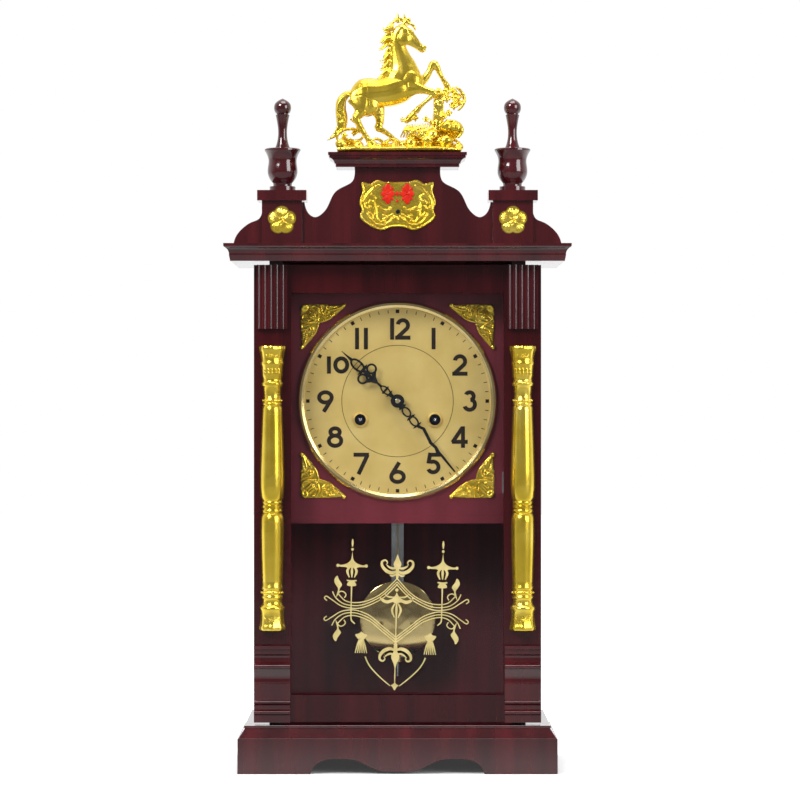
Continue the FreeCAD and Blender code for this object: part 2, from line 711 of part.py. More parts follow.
def dial_parts():
    """The dial board with its brass dial, bezel, printed marks, corner pieces and grommets."""
    width = "case_width - 2 * board_thick - 2 * panel_play"
    panel = box("panel_board", (width, "panel_thick", "case_top - panel_play - panel_bottom"),
                (f"-({width}) / 2", "-panel_front", "panel_bottom"))
    hub = rod("panel_hub", "hub_bore", "panel_thick + 2 * overrun",
              ("0", "-panel_front - overrun", "dial_level"))
    ports = [rod(f"panel_port_{word}", "grommet_bore", "panel_thick + 2 * overrun",
                 (f"{side} * wind_offset", "-panel_front - overrun", "dial_level - wind_drop"))
             for side, word in ((-1, "left"), (1, "right"))]
    node(cut("dial_panel", panel, hub, *ports))
    holes = [(("0", "0"), "hub_bore"), (("-wind_offset", "-wind_drop"), "grommet_bore"),
             (("wind_offset", "-wind_drop"), "grommet_bore")]
    node(plate("dial_plate", "dial_radius - bezel_width / 2", holes, "dial_thick",
               "-panel_front - dial_thick", "dial_level"))
    ring = [("dial_radius - bezel_width", "-dial_thick - pivot_play"),
            ("dial_radius - bezel_width", "-dial_thick - 0.45 * bezel_height"),
            ("dial_radius - 0.6 * bezel_width", "-bezel_height"),
            ("dial_radius - 0.25 * bezel_width", "-bezel_height"),
            ("dial_radius", "-0.55 * bezel_height"), ("dial_radius", "0"),
            ("dial_radius - bezel_width / 2 + pivot_play", "0"),
            ("dial_radius - bezel_width / 2 + pivot_play", "-dial_thick - pivot_play")]
    node(turned("dial_bezel", ring, ("0", "-panel_front", "dial_level"), "y"))
    node(feature("dial_markings", dial_markings()))
    node(feature("corner_spandrels", spandrels()))
    eye = [("grommet_bore", "-0.6 * grommet_bore"), ("grommet_radius", "-0.25 * grommet_bore"),
           ("grommet_radius", "0"), ("grommet_bore", "0")]
    eyes = [turned(f"grommet_{word}", eye,
                   (f"{side} * wind_offset", "-panel_front - dial_thick", "dial_level - wind_drop"),
                   "y") for side, word in ((-1, "left"), (1, "right"))]
    node(group("winding_grommets", *eyes))


def spandrels():
    """Four cast corner pieces, each lobed towards the dial."""
    lobe_shares = [(0, 0.10), (0.10, 0), (0.55, 0.07), (1.0, 0.02), (0.80, 0.28), (0.50, 0.40),
                   (0.40, 0.40), (0.40, 0.50), (0.28, 0.80), (0.02, 1.0), (0.07, 0.55)]
    bulge_shares = [-0.2, 0.06, -0.06, -0.16, -0.2, 0.1, 0.1, -0.2, -0.16, -0.06, 0.06]
    points = [(a * d.spandrel_reach, b * d.spandrel_reach) for a, b in lobe_shares]
    piece = slab(arc_outline(points, bulge_shares), -d.panel_front - d.spandrel_thick,
                 d.spandrel_thick)
    low_left = piece.translated(Vector(-d.spandrel_corner, 0, d.dial_level - d.spandrel_corner))
    centre = Vector(0, 0, d.dial_level)
    pieces = []
    for i in range(4):
        pieces.append(low_left.rotated(centre, Vector(0, 1, 0), 90 * i))
    return Part.makeCompound(pieces)


def stroke(start, end):
    """A straight numeral stroke between two points of the numeral box."""
    a, b = Vector(start[0], 0, start[1]), Vector(end[0], 0, end[1])
    side = (b - a).cross(Vector(0, 1, 0)).normalize() * (d.numeral_stroke / 2)
    corners = [a + side, b + side, b - side, a - side]
    return Part.Face(Part.makePolygon(corners + corners[:1]))


def bend(x, z, radius, first, last):
    """A curved numeral stroke round a centre, between two angles."""
    outer, inner = radius, radius - d.numeral_stroke
    spots = []
    for reach in (outer, inner):
        for share in (0, 0.5, 1):
            turn = math.radians(first + (last - first) * share)
            spots.append(Vector(x + reach * math.cos(turn), 0, z + reach * math.sin(turn)))
    if last - first >= 360:
        return ellipse_ring(x, z, outer, outer, d.numeral_stroke)
    edges = [Part.Arc(*spots[:3]).toShape(), Part.makeLine(spots[2], spots[5]),
             Part.Arc(spots[5], spots[4], spots[3]).toShape(), Part.makeLine(spots[3], spots[0])]
    return Part.Face(Part.Wire(edges))


def numeral(digit):
    """The strokes of one digit in a box as high as the numeral, centred in X."""
    tall, half = d.numeral_height, d.numeral_stroke / 2
    big, small = 0.34 * tall, 0.28 * tall
    top = tall - half

    def oval(centre_share, wide_share, high_share):
        return ellipse_ring(0, centre_share * tall, wide_share * tall, high_share * tall,
                            d.numeral_stroke)

    if digit == "0":
        return [oval(0.40, 0.37, 0.40)]
    if digit == "1":
        return [stroke((0, 0), (0, tall))]
    if digit == "2":
        return [bend(0, 0.67 * tall, 0.33 * tall, -40, 170),
                stroke((0.19 * tall, 0.52 * tall), (-0.27 * tall, half)),
                stroke((-0.36 * tall, half), (0.35 * tall, half))]
    if digit == "3":
        return [bend(0, tall - small, small, -80, 155), bend(0, big, big, -160, 80)]
    if digit == "4":
        return [stroke((0.14 * tall, 0), (0.14 * tall, tall)),
                stroke((-0.38 * tall, 0.28 * tall), (0.36 * tall, 0.28 * tall)),
                stroke((-0.35 * tall, 0.25 * tall), (0.12 * tall, 0.95 * tall))]
    if digit == "5":
        return [bend(-0.02 * tall, big, big, -155, 125),
                stroke((-0.24 * tall, 0.50 * tall), (-0.15 * tall, tall)),
                stroke((-0.17 * tall, top), (0.30 * tall, top))]
    if digit in "69":
        faces = [oval(0.33, 0.385, 0.33), stroke((-0.28 * tall, 0.42 * tall), (0.08 * tall, tall))]
        middle = Vector(0, 0, tall / 2)
        turn = 180 if digit == "9" else 0
        return [face.rotated(middle, Vector(0, 1, 0), turn) for face in faces]
    if digit == "7":
        return [stroke((-0.37 * tall, top), (0.35 * tall, top)),
                stroke((0.29 * tall, top), (-0.14 * tall, 0))]
    return [oval(0.735, 0.31, 0.265), oval(0.33, 0.38, 0.33)]


def dial_markings():
    """Printed hour numerals, hour squares, minute ticks and the fine inner circle."""
    front = -d.panel_front - d.dial_thick - d.mark_thick
    solids = []
    pair_shares = {"10": 0.57, "11": 0.41, "12": 0.50}
    ring = d.numeral_ring
    for hour in range(1, 13):
        turn = math.radians(30 * hour)
        digits = str(hour)
        low = 0.40 if digits == "10" else 0.5
        spot = Vector(ring * math.sin(turn), 0, ring * math.cos(turn) - low * d.numeral_height)
        for i, digit in enumerate(digits):
            shift = (i - (len(digits) - 1) / 2) * pair_shares.get(digits, 0) * d.numeral_height
            faces = numeral(digit)
            if digits == "10" and digit == "1":
                faces = [stroke((0, 0), (0, 0.80 * d.numeral_height))]
            parts = [slab(face, front, d.mark_thick) for face in faces]
            glyph = parts[0].multiFuse(parts[1:]) if len(parts) > 1 else parts[0]
            solids += glyph.translated(spot + Vector(shift, 0, 0)).Solids
    for minute in range(60):
        hour_mark = minute % 5 == 0
        wide = d.square_mark if hour_mark else d.square_mark / 5
        tall = d.square_mark if hour_mark else d.minute_mark
        mark = Part.makeBox(wide, d.mark_thick, tall,
                            Vector(-wide / 2, front, d.minute_ring - tall / 2))
        solids.append(mark.rotated(Vector(), Vector(0, 1, 0), 6 * minute))
    line = d.square_mark / 8
    solids.append(tube_y(d.chapter_circle, d.chapter_circle - line, front, front + d.mark_thick))
    return Part.makeCompound(solids).translated(Vector(0, 0, d.dial_level))


def oval_wire(x, z, wide, tall):
    """An oval in X and Z from its half width and half height."""
    centre = Vector(x, 0, z)
    if abs(wide - tall) < tall / 1000:
        return Part.Wire(Part.makeCircle(tall, centre, Vector(0, -1, 0)))
    ends = [centre + Vector(0, 0, tall), centre + Vector(wide, 0, 0)]
    if wide > tall:
        ends.reverse()
    return Part.Wire(Part.Ellipse(ends[0], ends[1], centre).toShape())


def ellipse_ring(x, z, wide, tall, wire):
    """A flat oval ring in X and Z."""
    inner = Part.Face(oval_wire(x, z, wide - wire, tall - wire))
    return Part.Face(oval_wire(x, z, wide, tall)).cut(inner).Faces[0]


def hand(length, rings, outlines, front, turn, hub, bore):
    """A pierced hand from its hub to its tip, turned clockwise from twelve."""
    faces = [ellipse_ring(x * length, z * length, a * length, b * length, w * length)
             for x, z, a, b, w in rings]
    faces += [polygon_face([(x * length, z * length) for x, z in points]) for points in outlines]
    disc = bar_y(hub, front, front + d.hand_thick)
    whole = disc.multiFuse([slab(face, front, d.hand_thick) for face in faces])
    whole = whole.cut(bar_y(bore, front - d.overrun, front + d.hand_thick + d.overrun))
    whole = whole.removeSplitter().rotated(Vector(), Vector(0, 1, 0), turn)
    return whole.translated(Vector(0, 0, d.dial_level))


def mirror_points(points):
    """An outline made symmetrical: points on the right, from root to tip."""
    return points + [(-x, z) for x, z in reversed(points)]


def hand_parts():
    """The hour and minute hands, pierced and barbed, standing at about 10:23."""
    hour_ring_shares = [(0, 0.213, 0.047, 0.087, 0.021), (-0.089, 0.544, 0.073, 0.073, 0.027),
                        (0.089, 0.544, 0.073, 0.073, 0.027), (0, 0.713, 0.070, 0.12, 0.029)]
    hour_outline_shares = [
        mirror_points([(0.02, 0.08), (0.03, 0.13), (0.06, 0.15), (0.025, 0.155)]),
        mirror_points([(0.05, 0.20), (0.067, 0.224), (0.045, 0.23)]),
        mirror_points([(0.018, 0.28), (0.014, 0.36), (0.05, 0.43), (0.11, 0.48), (0.05, 0.50),
                       (0.022, 0.48), (0.022, 0.60)]),
        mirror_points([(0.06, 0.68), (0.06, 0.695)]),
        mirror_points([(0.04, 0.60), (0.10, 0.63), (0.05, 0.64)]),
        mirror_points([(0.022, 0.825), (0.012, 0.90), (0.004, 1.0)])]
    minute_ring_shares = [(0, 0.155, 0.046, 0.066, 0.019), (0, 0.285, 0.046, 0.070, 0.019)]
    serpent_shares = [(0.018, 0.345), (0.012, 0.37), (-0.014, 0.415), (0.006, 0.508),
                      (0.024, 0.583), (0.012, 0.66), (0.034, 0.72), (0.014, 0.78), (0.009, 1.0),
                      (-0.009, 1.0), (-0.014, 0.78), (-0.012, 0.72), (-0.022, 0.66),
                      (-0.012, 0.583), (-0.030, 0.508), (-0.048, 0.415), (-0.024, 0.37),
                      (-0.018, 0.345)]
    minute_outline_shares = [
        mirror_points([(0.02, 0.05), (0.05, 0.09), (0.02, 0.10)]),
        mirror_points([(0.03, 0.218), (0.06, 0.235), (0.03, 0.245)]),
        mirror_points([(0.03, 0.335), (0.062, 0.342), (0.03, 0.355)]),
        serpent_shares]
    hour_turn, minute_turn = 311.75, 141
    hub_share = 0.54
    hour_bore = d.hub_bore * hub_share + 2 * d.pivot_play
    hour_hub = hour_bore + d.numeral_stroke
    node(feature("hour_hand", hand(d.hour_length, hour_ring_shares, hour_outline_shares,
                                   -d.hour_hand_front, hour_turn, hour_hub, pipe_radius("hour"))))
    front = -d.hour_hand_front - d.hand_space - d.hand_thick
    node(feature("minute_hand", hand(d.minute_length, minute_ring_shares, minute_outline_shares,
                                     front, minute_turn, hour_hub, pipe_radius("cannon"))))


def pipe_radius(word):
    """Outer radii of the nested hub pipes, each running on the next with a fine clearance."""
    wall = d.arbor_radius / 2
    cannon = d.arbor_radius + d.pivot_play + wall
    return cannon if word == "cannon" else cannon + d.pivot_play + wall


GREAT_TEETH, PINION_LEAVES, TRAIN_TEETH, ESCAPE_TEETH = 80, 8, 80, 36
PIN_TEETH, WARNING_TEETH, RATCHET_TEETH = 64, 56, 24
CANNON_TEETH, MINUTE_TEETH, HOUR_LEAVES, HOUR_TEETH = 12, 36, 10, 40
PIN_BEARING, WARNING_BEARING, FLY_BEARING, HAMMER_BEARING = 79.8, 123.7, 65.4, 119


def polar(centre, reach, bearing):
    """A point at a distance and a bearing, in degrees from +X towards +Z."""
    turn = math.radians(bearing)
    return (centre[0] + reach * math.cos(turn), centre[1] + reach * math.sin(turn))


def bearing(first, second):
    return math.degrees(math.atan2(second[1] - first[1], second[0] - first[0]))


def meet(first, second, first_gap, second_gap):
    """The arbor that keeps two mesh distances, to the right of the line between two arbors."""
    span = math.dist(first, second)
    along = (first_gap ** 2 - second_gap ** 2 + span ** 2) / (2 * span)
    aside = math.sqrt(first_gap ** 2 - along ** 2)
    ux, uz = (second[0] - first[0]) / span, (second[1] - first[1]) / span
    return (first[0] + ux * along + uz * aside, first[1] + uz * along - ux * aside)


def train_layout():
    """Arbor places in the movement, from the dial centre, by their mesh distances."""
    spots = {"centre": (0, 0), "escape": (0, d.escape_rise), "anchor": (0, d.pendulum_rise),
             "time_barrel": (d.wind_offset, -d.wind_drop),
             "strike_barrel": (-d.wind_offset, -d.wind_drop)}
    great_gap = math.hypot(d.wind_offset, d.wind_drop)
    train_gap = d.train_module * (TRAIN_TEETH + PINION_LEAVES) / 2
    upper_gap = d.upper_module * (TRAIN_TEETH + PINION_LEAVES) / 2
    spots["third"] = meet(spots["centre"], spots["escape"], train_gap, upper_gap)
    spots["minute"] = (0, d.train_module * (CANNON_TEETH + MINUTE_TEETH) / 2)
    spots["pin"] = polar(spots["strike_barrel"], great_gap, PIN_BEARING)
    pin_gap = d.train_module * (PIN_TEETH + PINION_LEAVES) / 2
    spots["warning"] = polar(spots["pin"], pin_gap, WARNING_BEARING)
    fly_gap = d.upper_module * (WARNING_TEETH + PINION_LEAVES) / 2
    spots["fly"] = polar(spots["warning"], fly_gap, FLY_BEARING)
    spots["hammer"] = polar(spots["strike_barrel"], great_gap, HAMMER_BEARING)
    return spots


def toothed(teeth, profile, turn):
    """A toothed face: each tooth repeats points of radius and share of the pitch."""
    pitch = 2 * math.pi / teeth
    spots = []
    for i in range(teeth):
        for radius, share in profile:
            angle = math.radians(turn) + (i + share) * pitch
            spots.append((radius * math.cos(angle), radius * math.sin(angle)))
    return polygon_face(spots)


def gear_face(teeth, module, turn, pinion=False):
    """A clock wheel or pinion with radial flanks and rounded tips, one tooth at the bearing."""
    radius = teeth * module / 2
    half, high, deep = (0.165, 0.7, 1.7) if pinion else (0.195, 1.0, 1.3)
    profile = [(radius - deep * module, -half), (radius, -half),
               (radius + 0.55 * high * module, -0.68 * half), (radius + high * module, -0.2 * half),
               (radius + high * module, 0.2 * half), (radius + 0.55 * high * module, 0.68 * half),
               (radius, half), (radius - deep * module, half)]
    return toothed(teeth, profile, turn)


def toothed_wheel(teeth, module, turn, spot, start, thick, windows=0, pinion=False):
    """A wheel or pinion at its arbor, with round windows between its spokes."""
    solid = slab(gear_face(teeth, module, turn, pinion), start, thick)
    rim = teeth * module / 2 - 3 * module
    hub = 2.4 * d.arbor_radius
    size = (rim - hub) * 0.42
    if windows:
        holes = []
        for i in range(windows):
            x, z = polar((0, 0), (rim + hub) / 2, turn + 360 / windows * (i + 0.5))
            holes.append(bar_y(size, start - d.overrun, start + thick + d.overrun, x, z))
        solid = solid.cut(holes)
    return solid.translated(Vector(spot[0], 0, spot[1]))


def arbor(spot, extra_front=0, extra_rear=0):
    """An arbor pivoted in both plates, flush with their outer faces or running past them."""
    start = -d.front_plate - d.plate_thick - extra_front
    end = d.plate_space - d.front_plate + d.plate_thick + extra_rear
    return bar_y(d.arbor_radius, start, end, spot[0], spot[1])


def joined(pieces, label):
    """Pieces fixed together on one arbor, raised to the dial centre."""
    whole = pieces[0].multiFuse(pieces[1:]).removeSplitter() if len(pieces) > 1 else pieces[0]
    node(feature(label, whole.translated(Vector(0, 0, d.dial_level))))


def depths():
    """Depths of the wheel planes between the plates, from front to back."""
    gap = d.wheel_thick / 2
    planes = {"strike_great": -d.front_plate + 1.5 * d.wheel_thick}
    planes["drum"] = planes["strike_great"] + d.great_thick
    planes["time_great"] = planes["drum"] + d.barrel_length
    planes["pin"] = planes["time_great"] + d.great_thick + 3 * gap
    planes["centre"] = planes["pin"] + 2.5 * d.wheel_thick
    planes["third"] = planes["centre"] + 4 * d.wheel_thick
    planes["escape"] = planes["time_great"] + gap
    planes["warning"] = planes["drum"] + 2.5 * d.wheel_thick
    planes["motion"] = -d.front_plate - d.plate_thick - 0.6 * d.wheel_thick
    return planes


def plate_shape(front, spots, studs):
    """A movement plate: a tapered brass sheet with pivot holes, and any studs fixed in it."""
    half, foot = d.plate_half, d.plate_foot_half
    shoulder = -d.plate_bottom * 0.45
    outline = [(-foot, -d.plate_bottom), (foot, -d.plate_bottom), (half, shoulder),
               (half, d.plate_top), (-half, d.plate_top), (-half, shoulder)]
    sheet = slab(polygon_face(outline), front, d.plate_thick)
    holes = []
    for name, (x, z) in spots.items():
        radius = (d.wind_arbor_radius if "barrel" in name else d.arbor_radius) + d.pivot_play
        if "pillar" in name:
            radius = d.pillar_radius / 2
        holes.append(bar_y(radius, front - d.overrun, front + d.plate_thick + d.overrun, x, z))
    return sheet.cut(holes).multiFuse(studs).removeSplitter() if studs else sheet.cut(holes)


def pillar_spots():
    """Where the four pillars stand, from the dial centre."""
    low = (d.plate_foot_half - 3 * d.pillar_radius, 2 * d.pillar_radius - d.plate_bottom)
    high = (d.plate_half - 2.5 * d.pillar_radius, d.plate_top - 2 * d.pillar_radius)
    return [(side * x, z) for x, z in (low, high) for side in (-1, 1)]


def frame_parts(spots):
    """The two movement plates with their studs, the pillars and the mounting posts."""
    front = -d.front_plate - d.plate_thick
    rear = d.plate_space - d.front_plate
    panel = -d.panel_front + d.panel_thick
    studs = [bar_y(click_stud_radius(), panel + d.panel_play, front, x, z)
             for x, z in click_spots(spots)]
    studs.append(bar_y(click_stud_radius(), panel + d.panel_play, front, *spots["minute"]))
    holes = {name: spot for name, spot in spots.items() if name != "minute"}
    pillars, posts = [], []
    bolt = d.pillar_radius / 2
    for i, (x, z) in enumerate(pillar_spots()):
        holes[f"pillar_{i}"] = (x, z)
        pillars.append(bar_y(d.pillar_radius, -d.front_plate, rear, x, z).fuse(
            bar_y(bolt, panel + d.panel_play, rear + 2 * d.plate_thick, x, z)))
        posts.append(tube_y(d.pillar_radius, bolt + d.pivot_play, panel, front, x, z))
    node(feature("movement_front_plate",
                 plate_shape(front, holes, studs).translated(Vector(0, 0, d.dial_level))))
    post = 5 * d.arbor_radius
    chop = d.rod_thick
    pivot = d.pendulum_rise
    foot = rear + d.plate_thick / 2
    cock = Part.makeBox(post, d.pendulum_plane + 2 * chop - foot, 0.75 * post,
                        Vector(-post / 2, foot, pivot + 2 * d.arbor_radius))
    jaw = Part.makeBox(post, 2 * chop, post,
                       Vector(-post / 2, d.pendulum_plane - chop, pivot - 2 * d.arbor_radius))
    seat = bar_y(suspension_pin() + d.pivot_play, 0, d.case_rear, 0, pivot)
    slit = Part.makeBox(suspension_pin(), d.case_rear, post,
                        Vector(-suspension_pin() / 2, 0, pivot - post))
    node(feature("movement_back_plate",
                 plate_shape(rear, holes, [cock, jaw.cut([seat, slit])]).translated(
                     Vector(0, 0, d.dial_level))))
    lift = Vector(0, 0, d.dial_level)
    node(feature("movement_pillars", Part.makeCompound(pillars).translated(lift)))
    node(feature("movement_posts", Part.makeCompound(posts).translated(lift)))


def suspension_pin():
    """Radius of the round head that hangs the pendulum in its jaw."""
    return 0.9 * d.arbor_radius


def click_stud_radius():
    return d.arbor_radius * 0.65


def click_spots(spots):
    """Pivots of the two clicks, up and outwards from their ratchets."""
    reach = 1.5 * d.ratchet_radius
    return [polar(spots["time_barrel"], reach, 60), polar(spots["strike_barrel"], reach, 120)]


def barrel(label, spot, great_front, turn):
    """A mainspring barrel: the drum closed by its great wheel and cap, free on its arbor."""
    planes = depths()
    module = 2 * math.hypot(d.wind_offset, d.wind_drop) / (GREAT_TEETH + PINION_LEAVES)
    gear = toothed_wheel(GREAT_TEETH, module, turn, spot, great_front, d.great_thick)
    end = planes["drum"] + d.barrel_length
    drum = bar_y(d.barrel_radius, planes["drum"], end, *spot)
    wall = d.wheel_thick
    hollow = bar_y(d.barrel_radius - wall, planes["drum"] + wall, end - wall, *spot)
    bore = bar_y(d.wind_arbor_radius + d.pivot_play, great_front - d.barrel_length,
                 end + d.barrel_length, *spot)
    joined([gear.fuse(drum).cut(hollow).cut(bore)], label)


def mainspring(label, spot):
    """A steel mainspring coiled in its barrel: a strip in half turns, outer side then inner."""
    planes = depths()
    strip, turns = d.wheel_thick, 5
    core = 1.5 * d.wind_arbor_radius
    outer = d.barrel_radius - 2 * strip
    pitch = (outer - core) / turns
    edges = []
    for offset in (0, strip):
        x, radius, side = spot[0], core + offset, 1
        path = []
        for i in range(2 * turns - 1):
            a = Vector(x + side * radius, 0, spot[1])
            b = Vector(x, 0, spot[1] + side * radius)
            c = Vector(x - side * radius, 0, spot[1])
            path.append(Part.Arc(a, b, c).toShape())
            x += side * pitch / 2
            radius += pitch / 2
            side = -side
        edges.append((path, path[0].Vertexes[0].Point, path[-1].Vertexes[-1].Point))
    caps = [Part.makeLine(edges[0][end], edges[1][end]) for end in (1, 2)]
    centre_gap = least_gap(edges[0][0])
    print(label, "least gap between turns:", round(centre_gap - strip, 2))
    wire = Part.Wire(Part.__sortEdges__(edges[0][0] + edges[1][0] + caps))
    inset = strip + d.panel_play
    joined([slab(wire, planes["drum"] + inset, d.barrel_length - 2 * inset)], label)


def winding_arbor(label, spot, turn):
    """A barrel arbor with its ratchet in front of the plate and its key square in the dial."""
    rear = d.plate_space - d.front_plate + d.plate_thick
    ratchet_front = -d.front_plate - d.plate_thick - 2.4 * d.wheel_thick
    square_front = -d.panel_front - d.bezel_height - 2 * d.wheel_thick
    shaft = bar_y(d.wind_arbor_radius, ratchet_front, rear, *spot)
    side = d.wind_square
    square = Part.makeBox(side, ratchet_front - square_front, side,
                          Vector(spot[0] - side / 2, square_front, spot[1] - side / 2))
    tip, root = d.ratchet_radius, 0.87 * d.ratchet_radius
    face = toothed(RATCHET_TEETH, [(tip, 0), (root, 0.06)], turn)
    ratchet = slab(face, ratchet_front, 2 * d.wheel_thick).translated(Vector(spot[0], 0, spot[1]))
    joined([shaft, square, ratchet], label)


def click(label, spot, pivot, turn):
    """A pawl on its stud, its nose resting between two ratchet teeth."""
    start = -d.front_plate - d.plate_thick - 2.4 * d.wheel_thick
    pitch = 360 / RATCHET_TEETH
    heading = bearing(spot, pivot)
    first = round((heading - 25 - turn) / pitch)
    root = turn + first * pitch
    radius = d.ratchet_radius
    stud = click_stud_radius()
    nose = [polar(spot, 0.92 * radius, root + 0.14 * pitch),
            polar(spot, 0.96 * radius, root + 0.36 * pitch),
            polar(spot, 1.12 * radius, root + 0.95 * pitch),
            polar(pivot, 2 * stud, heading - 160), polar(pivot, 2 * stud, heading),
            polar(spot, 1.10 * radius, root + 0.14 * pitch)]
    body = slab(polygon_face(nose), start, 2 * d.wheel_thick)
    ring = bar_y(2.2 * stud, start, start + 2 * d.wheel_thick, *pivot)
    hole = bar_y(stud + d.pivot_play, start - d.overrun, -d.front_plate, *pivot)
    joined([body.fuse(ring).cut(hole)], label)


def train_parts(spots):
    """The going train from barrel to escape wheel, with its anchor."""
    planes = depths()
    wheel = d.wheel_thick
    great = 2 * math.hypot(d.wind_offset, d.wind_drop) / (GREAT_TEETH + PINION_LEAVES)
    half_leaf = 180 / PINION_LEAVES
    to_centre = bearing(spots["time_barrel"], spots["centre"])
    to_third = bearing(spots["centre"], spots["third"])
    to_escape = bearing(spots["third"], spots["escape"])
    barrel("time_barrel", spots["time_barrel"], planes["time_great"], to_centre)
    mainspring("time_mainspring", spots["time_barrel"])
    nut_front = -d.hour_hand_front - d.hand_space - d.hand_thick - 1.5 * wheel
    nut_end = nut_front + wheel
    front_reach = -nut_front - d.front_plate - d.plate_thick
    start = planes["time_great"] - wheel / 2
    joined([arbor(spots["centre"], front_reach),
            bar_y(1.5 * d.arbor_radius, nut_front, nut_end),
            toothed_wheel(PINION_LEAVES, great, to_centre + 180 + half_leaf, spots["centre"],
                          start, planes["centre"] - start, pinion=True),
            toothed_wheel(TRAIN_TEETH, d.train_module, to_third, spots["centre"],
                          planes["centre"], wheel, windows=4)], "centre_wheel")
    start = planes["centre"] - wheel
    joined([arbor(spots["third"]),
            toothed_wheel(PINION_LEAVES, d.train_module, to_third + 180 + half_leaf,
                          spots["third"], start, planes["third"] - start, pinion=True),
            toothed_wheel(TRAIN_TEETH, d.upper_module, to_escape, spots["third"],
                          planes["third"], wheel, windows=4)], "third_wheel")
    tip = d.escape_radius
    teeth = [(0.80 * tip, -0.42), (tip, -0.06), (tip, 0.06), (0.80 * tip, 0.10)]
    face = toothed(ESCAPE_TEETH, teeth, 90)
    x, z = spots["escape"]
    joined([arbor(spots["escape"]),
            toothed_wheel(PINION_LEAVES, d.upper_module, to_escape + 180 + half_leaf,
                          spots["escape"], planes["third"] - wheel, 3 * wheel, pinion=True),
            slab(face, planes["escape"], wheel).translated(Vector(x, 0, z))], "escape_wheel")
    anchor_part(spots, planes)


def anchor_part(spots, planes):
    """The recoil anchor with its pallets, its arbor and the crutch behind the plate."""
    pivot, wheel_spot = spots["anchor"], spots["escape"]
    start, thick = planes["escape"] - d.wheel_thick / 2, 2 * d.wheel_thick
    clear = d.panel_play
    pieces = [arbor(pivot, 0, 3 * d.great_thick),
              bar_y(2.2 * d.arbor_radius, start, start + thick, *pivot)]
    nib, reach = d.wheel_thick / 2, d.escape_radius * 0.22
    for side in (-1, 1):
        way = math.radians(90 - 45 * side)
        ux, uz = math.cos(way), math.sin(way)
        inner, outer = d.escape_radius + clear, d.escape_radius + reach
        corners = [(inner, -nib), (outer, -2 * nib), (outer, 2 * nib), (inner, nib)]
        nib_points = [(wheel_spot[0] + r * ux - s * uz, wheel_spot[1] + r * uz + s * ux)
                      for r, s in corners]
        pieces.append(slab(polygon_face(nib_points), start, thick))
        end = (wheel_spot[0] + outer * ux, wheel_spot[1] + outer * uz)
        lean = math.radians(bearing(pivot, end))
        sx, sz = -math.sin(lean) * nib, math.cos(lean) * nib
        arm = [(pivot[0] + 2 * sx, pivot[1] + 2 * sz), (end[0] + 2 * sx, end[1] + 2 * sz),
               (end[0] - 2 * sx, end[1] - 2 * sz), (pivot[0] - 2 * sx, pivot[1] - 2 * sz)]
        pieces.append(slab(polygon_face(arm), start, thick))
    rear = d.plate_space - d.front_plate + d.plate_thick
    crutch_front = rear + 2 * d.great_thick
    length = d.pendulum_length * 0.168
    half = d.arbor_radius
    pieces.append(bar_y(half * 1.4, crutch_front, crutch_front + d.wheel_thick, *pivot))
    pieces.append(Part.makeBox(2 * half, d.wheel_thick, length,
                               Vector(-half, crutch_front, pivot[1] - length)))
    pin_end = d.pendulum_plane + 1.5 * d.rod_thick
    pieces.append(bar_y(d.wheel_thick, crutch_front, pin_end, 0, pivot[1] - length))
    joined(pieces, "anchor_and_crutch")


def motion_parts(spots):
    """The wheels under the dial that turn the hour hand once in twelve turns."""
    planes = depths()
    thick = 0.8 * d.wheel_thick
    rear = planes["motion"]
    minute_front = rear - 1.6 * thick
    cannon_front = rear - 2.2 * thick
    hand_front = -d.hour_hand_front - d.hand_space - d.hand_thick
    cannon = [tube_y(pipe_radius("cannon"), d.arbor_radius + d.pivot_play, hand_front, rear),
              toothed_wheel(CANNON_TEETH, d.train_module, -90 + 180 / CANNON_TEETH, (0, 0),
                            cannon_front, rear - cannon_front, pinion=True)]
    bore = bar_y(d.arbor_radius + d.pivot_play, hand_front, rear)
    joined([cannon[0].fuse(cannon[1]).cut(bore)], "cannon_pinion")
    hour_front = minute_front - 2.5 * thick
    stud = bar_y(click_stud_radius() + d.pivot_play, hour_front - d.overrun, 0, *spots["minute"])
    minute = toothed_wheel(MINUTE_TEETH, d.train_module, -90, spots["minute"], minute_front, thick)
    leaves = toothed_wheel(HOUR_LEAVES, d.hour_module, -90 + 180 / HOUR_LEAVES, spots["minute"],
                           hour_front - thick / 2, minute_front - hour_front + thick / 2,
                           pinion=True)
    joined([minute.fuse(leaves).cut(stud)], "minute_wheel")
    hour = toothed_wheel(HOUR_TEETH, d.hour_module, 90, (0, 0), hour_front, thick)
    pipe = bar_y(pipe_radius("hour"), -d.hour_hand_front, hour_front + thick)
    bore = bar_y(pipe_radius("cannon") + d.pivot_play, -2 * d.hour_hand_front, 0)
    joined([hour.fuse(pipe).cut(bore)], "hour_wheel")


